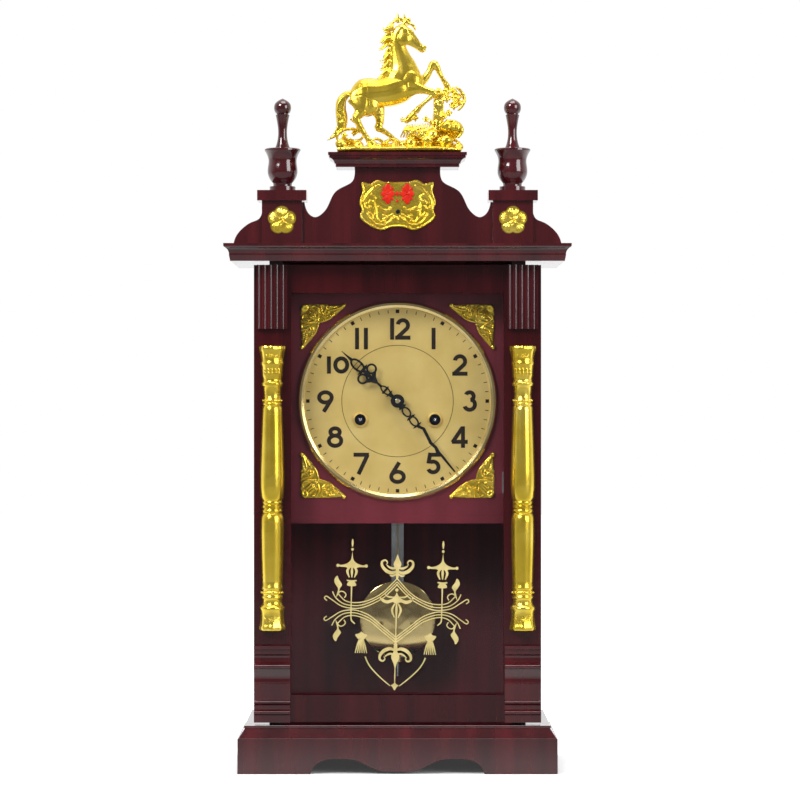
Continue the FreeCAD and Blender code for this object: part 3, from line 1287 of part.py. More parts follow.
def strike_parts(spots):
    """The strike train from barrel to fly, and the hammer that meets the gong."""
    planes = depths()
    wheel = d.wheel_thick
    great = 2 * math.hypot(d.wind_offset, d.wind_drop) / (GREAT_TEETH + PINION_LEAVES)
    half_leaf = 180 / PINION_LEAVES
    to_pin = bearing(spots["strike_barrel"], spots["pin"])
    to_warning = bearing(spots["pin"], spots["warning"])
    to_fly = bearing(spots["warning"], spots["fly"])
    barrel("strike_barrel", spots["strike_barrel"], planes["strike_great"], to_pin)
    mainspring("strike_mainspring", spots["strike_barrel"])
    pins = []
    ring = 0.75 * d.train_module * PIN_TEETH / 2
    for i in range(8):
        x, z = polar(spots["pin"], ring, 45 * i)
        pins.append(bar_y(0.4 * d.arbor_radius, planes["pin"] - 3 * wheel, planes["pin"], x, z))
    joined([arbor(spots["pin"]),
            toothed_wheel(PINION_LEAVES, great, to_pin + 180 + half_leaf, spots["pin"],
                          planes["strike_great"] - wheel / 2, d.great_thick + wheel, pinion=True),
            toothed_wheel(PIN_TEETH, d.train_module, to_warning, spots["pin"],
                          planes["pin"], wheel)] + pins, "pin_wheel")
    joined([arbor(spots["warning"]),
            toothed_wheel(PINION_LEAVES, d.train_module, to_warning + 180 + half_leaf,
                          spots["warning"], planes["pin"] - wheel, 3 * wheel, pinion=True),
            toothed_wheel(WARNING_TEETH, d.upper_module, to_fly, spots["warning"],
                          planes["warning"], wheel, windows=4)], "warning_wheel")
    x, z = spots["fly"]
    blade = d.escape_radius * 0.85
    vane = Part.makeBox(2 * blade, d.barrel_length * 0.6, wheel / 2,
                        Vector(x - blade, planes["warning"] + 3 * wheel, z - wheel / 4))
    joined([arbor(spots["fly"]), vane,
            toothed_wheel(PINION_LEAVES, d.upper_module, to_fly + 180 + half_leaf, spots["fly"],
                          planes["warning"] - wheel, 3 * wheel, pinion=True)], "strike_fly")
    hammer_part(spots, planes, ring)


def hammer_part(spots, planes, ring):
    """The gong hammer: arbor, lifting tail, wire stem and head beside the coil's outer turn."""
    pivot = spots["hammer"]
    rear = d.plate_space - d.front_plate + d.plate_thick
    past = d.gong_plane + d.arbor_radius - rear
    span = math.dist(pivot, spots["pin"])
    tail = span - ring - 0.4 * d.arbor_radius - 2 * d.panel_play
    way = bearing(pivot, spots["pin"])
    tail_bar = Part.makeBox(tail, d.wheel_thick, d.arbor_radius, Vector(0, 0, -d.arbor_radius / 2))
    tail_bar.rotate(Vector(), Vector(0, 1, 0), -way)
    tail_front = planes["time_great"] + d.wheel_thick
    tail_bar = tail_bar.translated(Vector(pivot[0], tail_front, pivot[1]))
    level = d.gong_level - d.dial_level
    stem = Part.makeCylinder(0.8 * d.arbor_radius, pivot[1] - level,
                             Vector(pivot[0], d.gong_plane, level))
    left = -d.gong_radius + d.gong_pitch / 2
    tip = left - d.gong_wire - 2.5 * d.panel_play
    length = 2 * d.hammer_radius
    head = Part.makeCylinder(d.hammer_radius, length, Vector(tip - length, d.gong_plane, level),
                             Vector(1, 0, 0))
    joined([arbor(pivot, 0, past), tail_bar, stem, head], "gong_hammer")


def pendulum_parts():
    """The pendulum: suspension strip, flat rod with its brass line, lens bob and rating nut."""
    pivot = d.dial_level + d.pendulum_rise
    plane = d.pendulum_plane
    thin = d.rod_thick * 0.15
    deep = 0.8 * d.rod_thick
    drop = d.pendulum_length * 0.056
    strip = Part.makeBox(thin, 2 * deep, drop, Vector(-thin / 2, plane - deep, pivot - drop))
    head = bar_y(suspension_pin(), plane - deep, plane + deep, 0, pivot)
    clamp_half = d.rod_width * 0.3
    clamp = Part.makeBox(2 * clamp_half, 2 * deep, drop / 3,
                         Vector(-clamp_half, plane - deep, pivot - drop))
    node(feature("suspension_spring", strip.multiFuse([head, clamp]).removeSplitter()))
    low = pivot - d.pendulum_length - d.bob_radius
    slot_half = d.wheel_thick + d.pivot_play
    length = d.pendulum_length * 0.168
    bar = Part.makeBox(d.rod_width, d.rod_thick, pivot - drop - low,
                       Vector(-d.rod_width / 2, plane - d.rod_thick / 2, low))
    slot = Part.makeBox(2 * slot_half, 2 * d.rod_thick, 6 * d.wheel_thick,
                        Vector(-slot_half, plane - d.rod_thick, pivot - length - 3 * d.wheel_thick))
    thread = Part.makeCylinder(d.arbor_radius, d.bob_radius / 2,
                               Vector(0, plane, low - d.bob_radius / 2))
    node(feature("pendulum_rod", bar.cut(slot).fuse(thread).removeSplitter()))
    half = d.bob_thick / 2
    runs = [[(1.0, 0), (1.0, 0.14)], [(0.985, 0.18), (0.75, 0.52), (0.40, 0.83), (0, 0.92)]]
    face = lathe(runs, d.bob_radius, half)
    lens = face.fuse(face.mirror(Vector(), Vector(0, 0, 1))).removeSplitter()
    lens.rotate(Vector(), Vector(1, 0, 0), 90)
    lens = lens.translated(Vector(0, plane, pivot - d.pendulum_length))
    play = d.panel_play / 2
    channel = Part.makeBox(d.rod_width + 2 * play, d.rod_thick + 2 * play, 4 * d.bob_radius,
                           Vector(-d.rod_width / 2 - play, plane - d.rod_thick / 2 - play,
                                  pivot - d.pendulum_length - 2 * d.bob_radius))
    node(feature("pendulum_bob", lens.cut(channel)))
    nut = Part.makeCylinder(d.rod_width / 2, 2 * d.rod_thick,
                            Vector(0, plane, low - 2 * d.rod_thick))
    hole = Part.makeCylinder(d.arbor_radius, d.bob_radius,
                             Vector(0, plane, low - d.bob_radius))
    node(feature("rating_nut", nut.cut(hole)))


def least_gap(edges):
    """The least distance between points of a coil's path that lie over half a turn apart."""
    runs = [edge.discretize(40) for edge in edges]
    least = math.inf
    for i, run in enumerate(runs):
        for other in runs[i + 2:]:
            least = min(least, min(a.distanceToPoint(b) for a in run for b in other))
    return least


def gong_parts():
    """The coiled wire gong and the post that carries it on the rear board."""
    pitch, wire, turns = d.gong_pitch, d.gong_wire, int(d.gong_turns)
    shift = -pitch / 2
    radius = d.gong_radius - pitch * turns
    first = Vector(shift + radius, 0, 0)
    lead = 2 * wire
    edges = [Part.makeLine(first - Vector(0, 0, lead), first)]
    x, side = shift, 1
    for i in range(2 * turns):
        a, b, c = (Vector(x + side * radius, 0, 0), Vector(x, 0, side * radius),
                   Vector(x - side * radius, 0, 0))
        edges.append(Part.Arc(a, b, c).toShape())
        x += side * pitch / 2
        radius += pitch / 2
        side = -side
    last = edges[-1].Vertexes[-1].Point
    edges.append(Part.makeLine(last, last + Vector(0, 0, side * lead)))
    path = Part.Wire(edges)
    section = Part.Wire(Part.makeCircle(wire, first - Vector(0, 0, lead), Vector(0, 0, 1)))
    centre_gap = least_gap(edges)
    coil = path.makePipeShell([section], True, False)
    print("gong coil, least gap between turns:", round(centre_gap - 2 * wire, 2))
    spot = Vector(0, d.gong_plane, d.gong_level)
    node(feature("gong_coil", coil.translated(spot)))
    wide, deep, tall = 2.4 * wire, d.case_rear - d.back_thick - d.gong_plane + 2 * wire, 3 * wire
    post = Part.makeBox(2 * wide, deep, tall,
                        Vector(first.x - 1.5 * wide, -2 * wire, -lead - tall))
    node(feature("gong_post", post.translated(spot)))


def limb(stations):
    """A rounded limb through stations of place and radius, in shares of the statue's height."""
    tall = d.statue_height
    spots = [Vector(x * tall, y * tall, z * tall) for x, y, z, _ in stations]
    rings = []
    for i, spot in enumerate(spots):
        before = spots[max(i - 1, 0)]
        after = spots[min(i + 1, len(spots) - 1)]
        circle = Part.makeCircle(stations[i][3] * tall, spot, after - before)
        rings.append(Part.Wire(circle))
    return Part.makeLoft(rings, True, False)


def boulder(x, y, z, radius, deep_share=1):
    """A rounded rock, in shares of the statue's height."""
    tall = d.statue_height
    ball = Part.makeSphere(radius * tall)
    squash = FreeCAD.Matrix()
    squash.scale(1, deep_share, 1)
    ball = ball.transformGeometry(squash) if deep_share != 1 else ball
    return ball.translated(Vector(x * tall, y * tall, z * tall))


def statue():
    """The gilt casting on the crest: a rearing horse over waves and rocks."""
    trunk_shares = [(-0.305, 0, 0.42, 0.045), (-0.27, 0, 0.42, 0.08), (-0.21, 0, 0.42, 0.098),
                    (-0.10, 0, 0.42, 0.105), (0.01, 0, 0.445, 0.108), (0.08, 0, 0.485, 0.105),
                    (0.14, 0, 0.52, 0.07), (0.165, 0, 0.535, 0.03)]
    neck_shares = [(0.06, 0, 0.50, 0.10), (0.03, 0, 0.59, 0.092), (0.015, 0, 0.68, 0.07),
                   (0.003, 0, 0.76, 0.06), (0.002, 0, 0.83, 0.054), (0.025, 0, 0.885, 0.036)]
    head_shares = [(0.015, 0, 0.885, 0.04), (0.05, 0, 0.845, 0.056), (0.09, 0, 0.81, 0.05),
                   (0.13, 0, 0.77, 0.036), (0.17, 0, 0.733, 0.033), (0.195, 0, 0.71, 0.02)]
    mane_shares = [(0.0, 0, 0.925, 0.018), (-0.045, 0, 0.875, 0.034), (-0.075, 0, 0.78, 0.036),
                   (-0.09, 0, 0.68, 0.036), (-0.10, 0, 0.60, 0.03), (-0.14, 0, 0.54, 0.008)]
    near_thigh_shares = [(-0.25, -0.045, 0.43, 0.075), (-0.278, -0.055, 0.32, 0.058),
                         (-0.272, -0.055, 0.20, 0.025)]
    near_shank_shares = [(-0.285, -0.055, 0.235, 0.026), (-0.215, -0.055, 0.135, 0.019),
                         (-0.14, -0.055, 0.045, 0.030)]
    far_thigh_shares = [(-0.19, 0.045, 0.40, 0.068), (-0.125, 0.05, 0.30, 0.048),
                        (-0.12, 0.05, 0.18, 0.024)]
    far_shank_shares = [(-0.14, 0.05, 0.20, 0.024), (-0.05, 0.05, 0.125, 0.019),
                        (0.032, 0.05, 0.06, 0.028)]
    tail_shares = [(-0.30, 0, 0.45, 0.02), (-0.37, 0, 0.438, 0.032), (-0.41, 0, 0.385, 0.034),
                   (-0.42, 0, 0.31, 0.038), (-0.424, 0, 0.235, 0.034), (-0.455, 0, 0.155, 0.019),
                   (-0.488, 0, 0.10, 0.006)]
    raised_arm_shares = [(0.09, -0.045, 0.49, 0.055), (0.192, -0.055, 0.56, 0.036),
                         (0.268, -0.055, 0.64, 0.024)]
    raised_shank_shares = [(0.255, -0.055, 0.645, 0.024), (0.315, -0.055, 0.555, 0.018),
                           (0.363, -0.055, 0.465, 0.028)]
    folded_arm_shares = [(0.09, 0.04, 0.46, 0.055), (0.18, 0.05, 0.44, 0.034),
                         (0.268, 0.05, 0.42, 0.024)]
    folded_shank_shares = [(0.265, 0.05, 0.43, 0.023), (0.19, 0.05, 0.36, 0.018),
                           (0.125, 0.05, 0.29, 0.026)]
    ear_shares = [[(0.012, -0.02, 0.905, 0.018), (0.0, -0.025, 0.955, 0.014),
                   (-0.002, -0.025, 0.99, 0.003)],
                  [(0.045, 0.02, 0.90, 0.018), (0.045, 0.025, 0.95, 0.014),
                   (0.047, 0.025, 0.982, 0.003)]]
    rock_shares = [(-0.36, 0, 0.05, 0.075, 1), (-0.24, 0, 0.045, 0.07, 1.2),
                   (-0.10, 0, 0.04, 0.075, 1.4), (0.05, 0, 0.06, 0.085, 1.3),
                   (0.13, 0, 0.13, 0.085, 0.9), (0.21, 0, 0.17, 0.07, 0.8),
                   (0.20, 0, 0.06, 0.085, 1.2), (0.36, 0, 0.08, 0.095, 1.1),
                   (0.36, 0, 0.19, 0.085, 0.9), (0.39, 0, 0.29, 0.08, 0.8),
                   (0.35, 0, 0.37, 0.058, 0.8), (0.42, 0, 0.39, 0.045, 0.8)]
    limbs = [trunk_shares, neck_shares, head_shares, mane_shares, near_thigh_shares,
             near_shank_shares, far_thigh_shares, far_shank_shares, tail_shares,
             raised_arm_shares, raised_shank_shares, folded_arm_shares, folded_shank_shares]
    limbs += ear_shares
    pieces = [limb(stations) for stations in limbs]
    pieces += [boulder(*rock) for rock in rock_shares]
    tall = d.statue_height
    foot_half, foot_deep = 0.44 * tall, 0.15 * tall
    foot = Part.makeBox(2 * foot_half, 2 * foot_deep, 0.04 * tall,
                        Vector(-foot_half, -foot_deep, 0))
    whole = foot.multiFuse(pieces)
    below = Part.makeBox(2 * tall, 2 * tall, tall, Vector(-tall, -tall, -tall))
    seat = d.case_top + d.cornice_height + d.crest_height + d.platform_height
    depth = d.crest_thick / 2 - d.crest_front
    return whole.cut(below).translated(Vector(0, depth, seat))


def catch_part():
    """The door catch on the right side of the case, facing the back of the door."""
    side = "board_thick * 0.7"
    node(box("door_catch", (side, "board_thick", "board_thick * 1.5"),
             (f"case_width / 2 - board_thick - {side}", "-case_front",
              "base_height + door_lift + door_height / 2")))


def build():
    """Makes every piece, checks it and writes one file for each."""
    spots = train_layout()
    base_parts()
    case_parts()
    crest_parts()
    node(feature("horse_statue", statue()))
    door_parts()
    hinge_parts()
    catch_part()
    dial_parts()
    hand_parts()
    frame_parts(spots)
    train_parts(spots)
    motion_parts(spots)
    strike_parts(spots)
    places = zip(("time", "strike"), (spots["time_barrel"], spots["strike_barrel"]),
                 click_spots(spots))
    for word, spot, pivot in places:
        winding_arbor(f"{word}_winding_arbor", spot, 0)
        click(f"{word}_click", spot, pivot, 0)
    pendulum_parts()
    gong_parts()
    doc.recompute()
    for item in doc.Objects:
        if "Invalid" in item.State or "Error" in item.State:
            raise RuntimeError(f"{item.Name} failed: {item.State}")
    os.makedirs("parts", exist_ok=True)
    for label, item in nodes.items():
        shape = item.Shape
        if shape.isNull() or not shape.isValid() or not shape.Solids:
            raise RuntimeError(f"{label} has no sound solid")
        shape.exportStep(f"parts/{label}.step")
        bounds = shape.BoundBox
        print(f"{label}: {len(shape.Solids)} solids, {shape.Volume:.0f} mm3, "
              f"z {bounds.ZMin:.1f} to {bounds.ZMax:.1f}")
    print(len(nodes), "pieces")


build()
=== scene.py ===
import math

import bmesh
import bpy
from mathutils import Matrix, Vector, noise


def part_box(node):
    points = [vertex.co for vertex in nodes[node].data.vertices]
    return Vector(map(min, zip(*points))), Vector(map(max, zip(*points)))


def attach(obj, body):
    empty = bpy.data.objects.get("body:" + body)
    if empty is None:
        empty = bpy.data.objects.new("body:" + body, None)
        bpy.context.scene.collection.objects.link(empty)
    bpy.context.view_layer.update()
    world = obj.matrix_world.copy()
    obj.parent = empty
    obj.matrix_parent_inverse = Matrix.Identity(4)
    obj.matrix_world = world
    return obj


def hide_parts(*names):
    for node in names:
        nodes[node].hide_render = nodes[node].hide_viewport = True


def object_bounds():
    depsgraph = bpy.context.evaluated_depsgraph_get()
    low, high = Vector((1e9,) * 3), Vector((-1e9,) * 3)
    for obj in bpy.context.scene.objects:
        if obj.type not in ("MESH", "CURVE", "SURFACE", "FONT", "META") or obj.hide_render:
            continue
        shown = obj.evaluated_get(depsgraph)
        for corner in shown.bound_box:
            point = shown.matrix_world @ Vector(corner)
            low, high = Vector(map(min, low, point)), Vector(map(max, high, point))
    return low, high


# A striking mantel clock. The front faces -Y and the floor is at z = 0.
# Shapes are drawn in millimetres and become metres when they are finished.

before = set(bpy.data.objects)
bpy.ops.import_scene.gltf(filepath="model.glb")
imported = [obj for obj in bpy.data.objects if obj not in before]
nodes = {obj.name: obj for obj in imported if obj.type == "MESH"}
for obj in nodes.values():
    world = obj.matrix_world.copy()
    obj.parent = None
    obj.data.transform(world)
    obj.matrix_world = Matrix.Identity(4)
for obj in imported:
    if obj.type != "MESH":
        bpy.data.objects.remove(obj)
cad_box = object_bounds()
scene = bpy.context.scene
MM = 0.001
FULL_TURN = 2 * math.pi


# Materials

class Graph:
    """A node tree with short ways to add, fill and join its nodes."""

    def __init__(self, tree):
        self.tree = tree

    def fill(self, item, *ordered, **named):
        """Sets inputs of a node, or links them to outputs, in order or by name."""
        for key, value in (*enumerate(ordered), *named.items()):
            socket = item.inputs[key if isinstance(key, int) else key.replace("_", " ")]
            if isinstance(value, bpy.types.NodeSocket):
                self.tree.links.new(value, socket)
            else:
                socket.default_value = value
        return item.outputs

    def node(self, kind, *ordered, **named):
        """Adds a node, fills its inputs and gives its outputs."""
        return self.fill(self.tree.nodes.new("ShaderNode" + kind), *ordered, **named)

    def work(self, operation, *values):
        """The result of a Math node."""
        item = self.tree.nodes.new("ShaderNodeMath")
        item.operation = operation
        return self.fill(item, *values)[0]

    def ramp(self, source, stops):
        """The colour of a ramp through (place, colour) stops."""
        item = self.tree.nodes.new("ShaderNodeValToRGB")
        marks = item.color_ramp.elements
        marks[0].position, marks[0].color = stops[0][0], (*stops[0][1], 1)
        marks[1].position, marks[1].color = stops[-1][0], (*stops[-1][1], 1)
        for spot, colour in stops[1:-1]:
            marks.new(spot).color = (*colour, 1)
        return self.fill(item, source)["Color"]


class Shader(Graph):
    """A principled material whose colour, roughness and bump come from noise in object space."""

    def __init__(self, name):
        self.material = bpy.data.materials.new(name)
        self.material.use_nodes = True
        super().__init__(self.material.node_tree)
        self.base = self.tree.nodes["Principled BSDF"]
        self.where = self.node("TexCoord")["Object"]

    def put(self, **values):
        self.fill(self.base, **values)

    def noise(self, scale, detail, stretch=(1, 1, 1)):
        spot = self.node("Mapping", Vector=self.where, Scale=stretch)["Vector"]
        return self.node("TexNoise", Vector=spot, Scale=scale, Detail=detail)["Fac"]

    def roughness(self, source, least, most):
        self.put(Roughness=self.node("MapRange", Value=source, To_Min=least, To_Max=most)["Result"])

    def bump(self, source, depth, strength):
        """Adds fine relief on top of any that is there."""
        normal = self.base.inputs["Normal"]
        below = {"Normal": normal.links[0].from_socket} if normal.is_linked else {}
        relief = self.node("Bump", Height=source, Distance=depth, Strength=strength, **below)
        self.put(Normal=relief["Normal"])

    def surface(self, share, first, second):
        """Shows a mix of two shaders."""
        mixed = self.node("MixShader", share, first, second)[0]
        self.fill(self.tree.nodes["Material Output"], Surface=mixed)


def lacquer(name, dark, light, peel=0.00006, rough=(0.10, 0.2), coat=0.6, gloss=0.5):
    """Burgundy lacquer over close-grained wood, with a fine orange peel in its gloss."""
    s = Shader(name)
    between = tuple((a + b) / 2 for a, b in zip(dark, light))
    upright = (1, 1, 0.06)
    s.put(Base_Color=s.ramp(s.noise(60, 6, upright), [(0.3, dark), (0.55, between), (0.75, light)]),
          Coat_Weight=coat, Coat_Roughness=0.05, Specular_IOR_Level=gloss)
    s.roughness(s.noise(35, 3), *rough)
    s.bump(s.noise(260, 2), peel, 0.35)
    s.bump(s.noise(45, 2), peel * 3, 0.3)
    return s.material


def metal(name, tones, rough, marks=500, relief=0.00005, stretch=(1, 1, 1), bare=1.0):
    """Bare or plated metal, with slow changes between three tones and fine marks."""
    s = Shader(name)
    s.put(Base_Color=s.ramp(s.noise(40, 5), list(zip((0.25, 0.5, 0.8), tones))), Metallic=bare)
    s.roughness(s.noise(90, 4, stretch), *rough)
    s.bump(s.noise(marks, 3, stretch), relief, 0.3)
    return s.material


def painted(name, low, high, rough):
    """A thin coat of paint or print."""
    s = Shader(name)
    s.put(Base_Color=s.ramp(s.noise(120, 4), [(0.3, low), (0.7, high)]), Specular_IOR_Level=0.2)
    s.roughness(s.noise(150, 3), *rough)
    s.bump(s.noise(900, 2), 0.00002, 0.3)
    return s.material


def clear_glass():
    """Window glass with a slow wave, which shadow, soft light and gloss pass straight through."""
    s = Shader("window_glass")
    s.put(Base_Color=(0.97, 0.98, 0.975, 1), Roughness=0.0, IOR=1.45, Transmission_Weight=1.0)
    s.bump(s.noise(8, 1), 0.0002, 0.08)
    rays = s.node("LightPath")
    either = s.work("MAXIMUM", rays["Is Shadow Ray"], rays["Is Diffuse Ray"])
    passing = s.work("MAXIMUM", either, rays["Is Glossy Ray"])
    s.surface(passing, s.base.outputs["BSDF"], s.node("BsdfTransparent")["BSDF"])
    return s.material


LONG_MARKS = (1, 1, 0.05)
wood_lacquer = lacquer("lacquer_burgundy", (0.030, 0.0028, 0.0042), (0.085, 0.0075, 0.0105))
# The door frame's lacquer is a darker copy of the case lacquer, which is painted shade. It also has a
# coarser orange peel, a thinner coat and less gloss.
rail_lacquer_painted_shade = lacquer("lacquer_orange_peel_painted_shade", (0.021, 0.0018, 0.0028), (0.058, 0.0048, 0.0070),
                       peel=0.0003, coat=0.4, gloss=0.3)
inner_wood = lacquer("inner_burgundy", (0.058, 0.0040, 0.0085), (0.135, 0.0100, 0.0190),
                     peel=0.00003, rough=(0.5, 0.6), coat=0.0, gloss=0.2)
panel_wood = lacquer("dial_panel_burgundy", (0.105, 0.008, 0.016), (0.165, 0.015, 0.028),
                     peel=0.00003, rough=(0.38, 0.48), coat=0.15, gloss=0.35)
gilt = metal("gilt_plating", ((0.70, 0.49, 0.035), (0.86, 0.62, 0.065), (0.98, 0.76, 0.14)),
             (0.2, 0.3), marks=420, relief=0.00006, bare=0.9)
dial_brass = metal("dial_satin_brass", ((0.72, 0.51, 0.15), (0.79, 0.58, 0.19), (0.86, 0.65, 0.24)),
                   (0.36, 0.46), marks=900, relief=0.00002, stretch=(1, 1, 0.1), bare=0.55)
bezel_brass = metal("bezel_brass", ((0.78, 0.57, 0.21), (0.86, 0.66, 0.28), (0.93, 0.75, 0.36)),
                    (0.16, 0.26), marks=120, relief=0.00001)
bob_brass = metal("bob_brass", ((0.76, 0.56, 0.20), (0.85, 0.65, 0.27), (0.93, 0.75, 0.34)),
                  (0.09, 0.16), marks=60, relief=0.000004)
movement_brass = metal("movement_brass", ((0.60, 0.42, 0.15), (0.72, 0.53, 0.2), (0.8, 0.62, 0.27)),
                       (0.25, 0.4))
steel = metal("bright_steel", ((0.42, 0.43, 0.45), (0.55, 0.56, 0.58), (0.68, 0.69, 0.70)),
              (0.18, 0.32), marks=700, relief=0.00002, stretch=LONG_MARKS)
rod_steel = metal("rod_steel", ((0.34, 0.36, 0.36), (0.48, 0.50, 0.50), (0.64, 0.66, 0.65)),
                  (0.2, 0.3), marks=700, relief=0.00002, stretch=LONG_MARKS)
blued = metal("blued_steel", ((0.02, 0.025, 0.05), (0.04, 0.045, 0.08), (0.07, 0.07, 0.10)),
              (0.25, 0.38))
hand_black = painted("hand_black", (0.006, 0.006, 0.007), (0.014, 0.014, 0.015), (0.25, 0.4))
dial_ink = painted("dial_ink", (0.010, 0.006, 0.004), (0.02, 0.012, 0.008), (0.5, 0.65))
red_enamel = painted("red_enamel", (0.55, 0.012, 0.006), (0.72, 0.03, 0.012), (0.18, 0.3))
print_gold = painted("print_gold", (0.56, 0.44, 0.16), (0.74, 0.60, 0.27), (0.4, 0.55))
glass = clear_glass()

FINISH = {
    wood_lacquer: ["base_frame", "base_top", "case_side_left", "case_side_right", "cornice",
                   "crest_board", "crest_cap", "finial_blocks", "finial_caps", "finials",
                   "fluted_blocks", "plinth_blocks"],
    rail_lacquer_painted_shade: ["door_frame"],
    inner_wood: ["case_back", "glass_beads"],
    panel_wood: ["dial_panel"],
    gilt: ["rosettes", "crest_plaque", "horse_statue", "half_columns", "corner_spandrels"],
    dial_brass: ["dial_plate", "winding_grommets"],
    bezel_brass: ["dial_bezel", "rating_nut"],
    bob_brass: ["pendulum_bob"],
    dial_ink: ["dial_markings"],
    rod_steel: ["pendulum_rod"],
    hand_black: ["hour_hand", "minute_hand"],
    glass: ["door_glass"],
    blued: ["gong_coil", "gong_post", "time_winding_arbor", "strike_winding_arbor"],
    steel: ["movement_pillars", "time_mainspring", "anchor_and_crutch", "strike_mainspring",
            "gong_hammer", "time_click", "strike_click", "suspension_spring", "door_catch"],
    movement_brass: ["movement_front_plate", "movement_back_plate", "movement_posts",
                     "time_barrel", "centre_wheel", "third_wheel", "escape_wheel",
                     "cannon_pinion", "minute_wheel", "hour_wheel", "strike_barrel",
                     "pin_wheel", "warning_wheel", "strike_fly", "hinge_leaves_case",
                     "hinge_leaves_door"],
}
for finish, names in FINISH.items():
    for name in names:
        piece = nodes[name]
        piece.data.materials.clear()
        piece.data.materials.append(finish)


# Mesh helpers

HAIR = 0.02
# Shading is flat, soft, or has edges that are sharp above an angle in degrees.
FLAT, SOFT = 0, 180


def sampled(points, per=6):
    """Points of any width on a smooth line through the given ones."""
    out = []
    last = len(points) - 1
    for i in range(last):
        a, b, c, e = (points[max(i - 1, 0)], points[i], points[i + 1], points[min(i + 2, last)])
        for k in range(per):
            t = k / per
            out.append(tuple(
                0.5 * (2 * q + (r - p) * t + (2 * p - 5 * q + 4 * r - s) * t * t
                       + (3 * q - p - 3 * r + s) * t ** 3)
                for p, q, r, s in zip(a, b, c, e)))
    out.append(tuple(points[last]))
    return out


def tube(bm, stations, sides=14, per=5):
    """A closed limb through (x, y, z, half height, half depth) stations, in millimetres."""
    line = sampled(stations, per)
    spots = [Vector(s[:3]) for s in line]
    rings = []
    for i, s in enumerate(line):
        way = spots[min(i + 1, len(spots) - 1)] - spots[max(i - 1, 0)]
        across = Vector((0, 1, 0))
        up = way.cross(across)
        up = up.normalized() if up.length > 1e-9 else Vector((1, 0, 0))
        deep = up.cross(way).normalized()
        ring = []
        for k in range(sides):
            turn = FULL_TURN * k / sides
            ring.append(bm.verts.new(spots[i] + up * max(s[3], HAIR) * math.cos(turn)
                                     + deep * max(s[4], HAIR) * math.sin(turn)))
        rings.append(ring)
    for a, b in zip(rings, rings[1:]):
        for k in range(sides):
            bm.faces.new((a[k], a[(k + 1) % sides], b[(k + 1) % sides], b[k]))
    bm.faces.new(rings[0][::-1])
    bm.faces.new(rings[-1])


def blob(bm, spot, size, turn=0.0, detail=3):
    """A rounded lump with three half sizes, turned in the front plane."""
    matrix = (Matrix.Translation(Vector(spot)) @ Matrix.Rotation(turn, 4, "Y")
              @ Matrix.Diagonal((*size, 1)))
    bmesh.ops.create_icosphere(bm, subdivisions=detail, radius=1, matrix=matrix)


def slab(bm, outline, front, rear):
    """A flat piece through (x, z) points between two depths."""
    near = [bm.verts.new((x, front, z)) for x, z in outline]
    far = [bm.verts.new((x, rear, z)) for x, z in outline]
    n = len(outline)
    bm.faces.new(near)
    bm.faces.new(far[::-1])
    for i in range(n):
        bm.faces.new((near[i], far[i], far[(i + 1) % n], near[(i + 1) % n]))


def around(x, y, z, reach, turn):
    """The place at a reach and a turn around (x, z), at depth y."""
    return x + reach * math.cos(turn), y, z + reach * math.sin(turn)


def placed(name, data):
    """A new object in the scene."""
    item = bpy.data.objects.new(name, data)
    scene.collection.objects.link(item)
    return item


def finish_mesh(bm, name, material, body, smooth, hides=()):
    """Turns millimetres into a shown piece in metres that rides on a body."""
    bmesh.ops.recalc_face_normals(bm, faces=bm.faces)
    bmesh.ops.scale(bm, vec=(MM, MM, MM), verts=bm.verts)
    mesh = bpy.data.meshes.new(name)
    bm.to_mesh(mesh)
    bm.free()
    mesh.materials.append(material)
    item = placed(name, mesh)
    if smooth != FLAT:
        mesh.shade_smooth()
    if smooth not in (FLAT, SOFT):
        mesh.set_sharp_from_angle(angle=math.radians(smooth))
    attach(item, body)
    if hides:
        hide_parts(*hides)


def cast(bm, name, material, body, voxel, rounds, hides, shape=None):
    """A cast piece: overlapping limbs melted into one skin, then shaped vertex by vertex."""
    bmesh.ops.recalc_face_normals(bm, faces=bm.faces)
    mesh = bpy.data.meshes.new(name + "_raw")
    bm.to_mesh(mesh)
    bm.free()
    raw = placed(name + "_raw", mesh)
    skin = raw.modifiers.new("skin", "REMESH")
    skin.mode = "VOXEL"
    skin.voxel_size = voxel
    ease = raw.modifiers.new("ease", "SMOOTH")
    ease.factor = 0.5
    ease.iterations = rounds
    graph = bpy.context.evaluated_depsgraph_get()
    done = bpy.data.meshes.new_from_object(raw.evaluated_get(graph))
    bpy.data.objects.remove(raw)
    bm = bmesh.new()
    bm.from_mesh(done)
    bpy.data.meshes.remove(done)
    if shape:
        bm.normal_update()
        moves = [(v, shape(v.co, v.normal)) for v in bm.verts]
        for v, offset in moves:
            v.co += v.normal * offset
    finish_mesh(bm, name, material, body, SOFT, hides)


# The rearing horse on its rock, placed in picture units across and down

STATUE_Y = -51.0
STATUE_FOOT = 531.8
STATUE_TALL = 122.8
PICTURE_TALL = 1313
PICTURE_MID = 738
PICTURE_FOOT = 1406
STATUE_UNIT = STATUE_TALL / PICTURE_TALL
STOUT = 1.2


def horse_spot(across, down, y=0.0):
    """A place in the statue: picture units across and down, and millimetres of depth."""
    return ((across - PICTURE_MID) * STATUE_TALL / PICTURE_TALL, STATUE_Y + y,
            STATUE_FOOT + (PICTURE_FOOT - down) * STATUE_TALL / PICTURE_TALL)


def horse_limb(bm, stations, sides=16, per=5):
    """A limb from (across, down, depth, half height, half depth in shares of it) stations."""
    tube(bm, [(*horse_spot(x, z, y), r * STATUE_UNIT, r * STATUE_UNIT * share)
              for x, z, y, r, share in stations], sides, per)


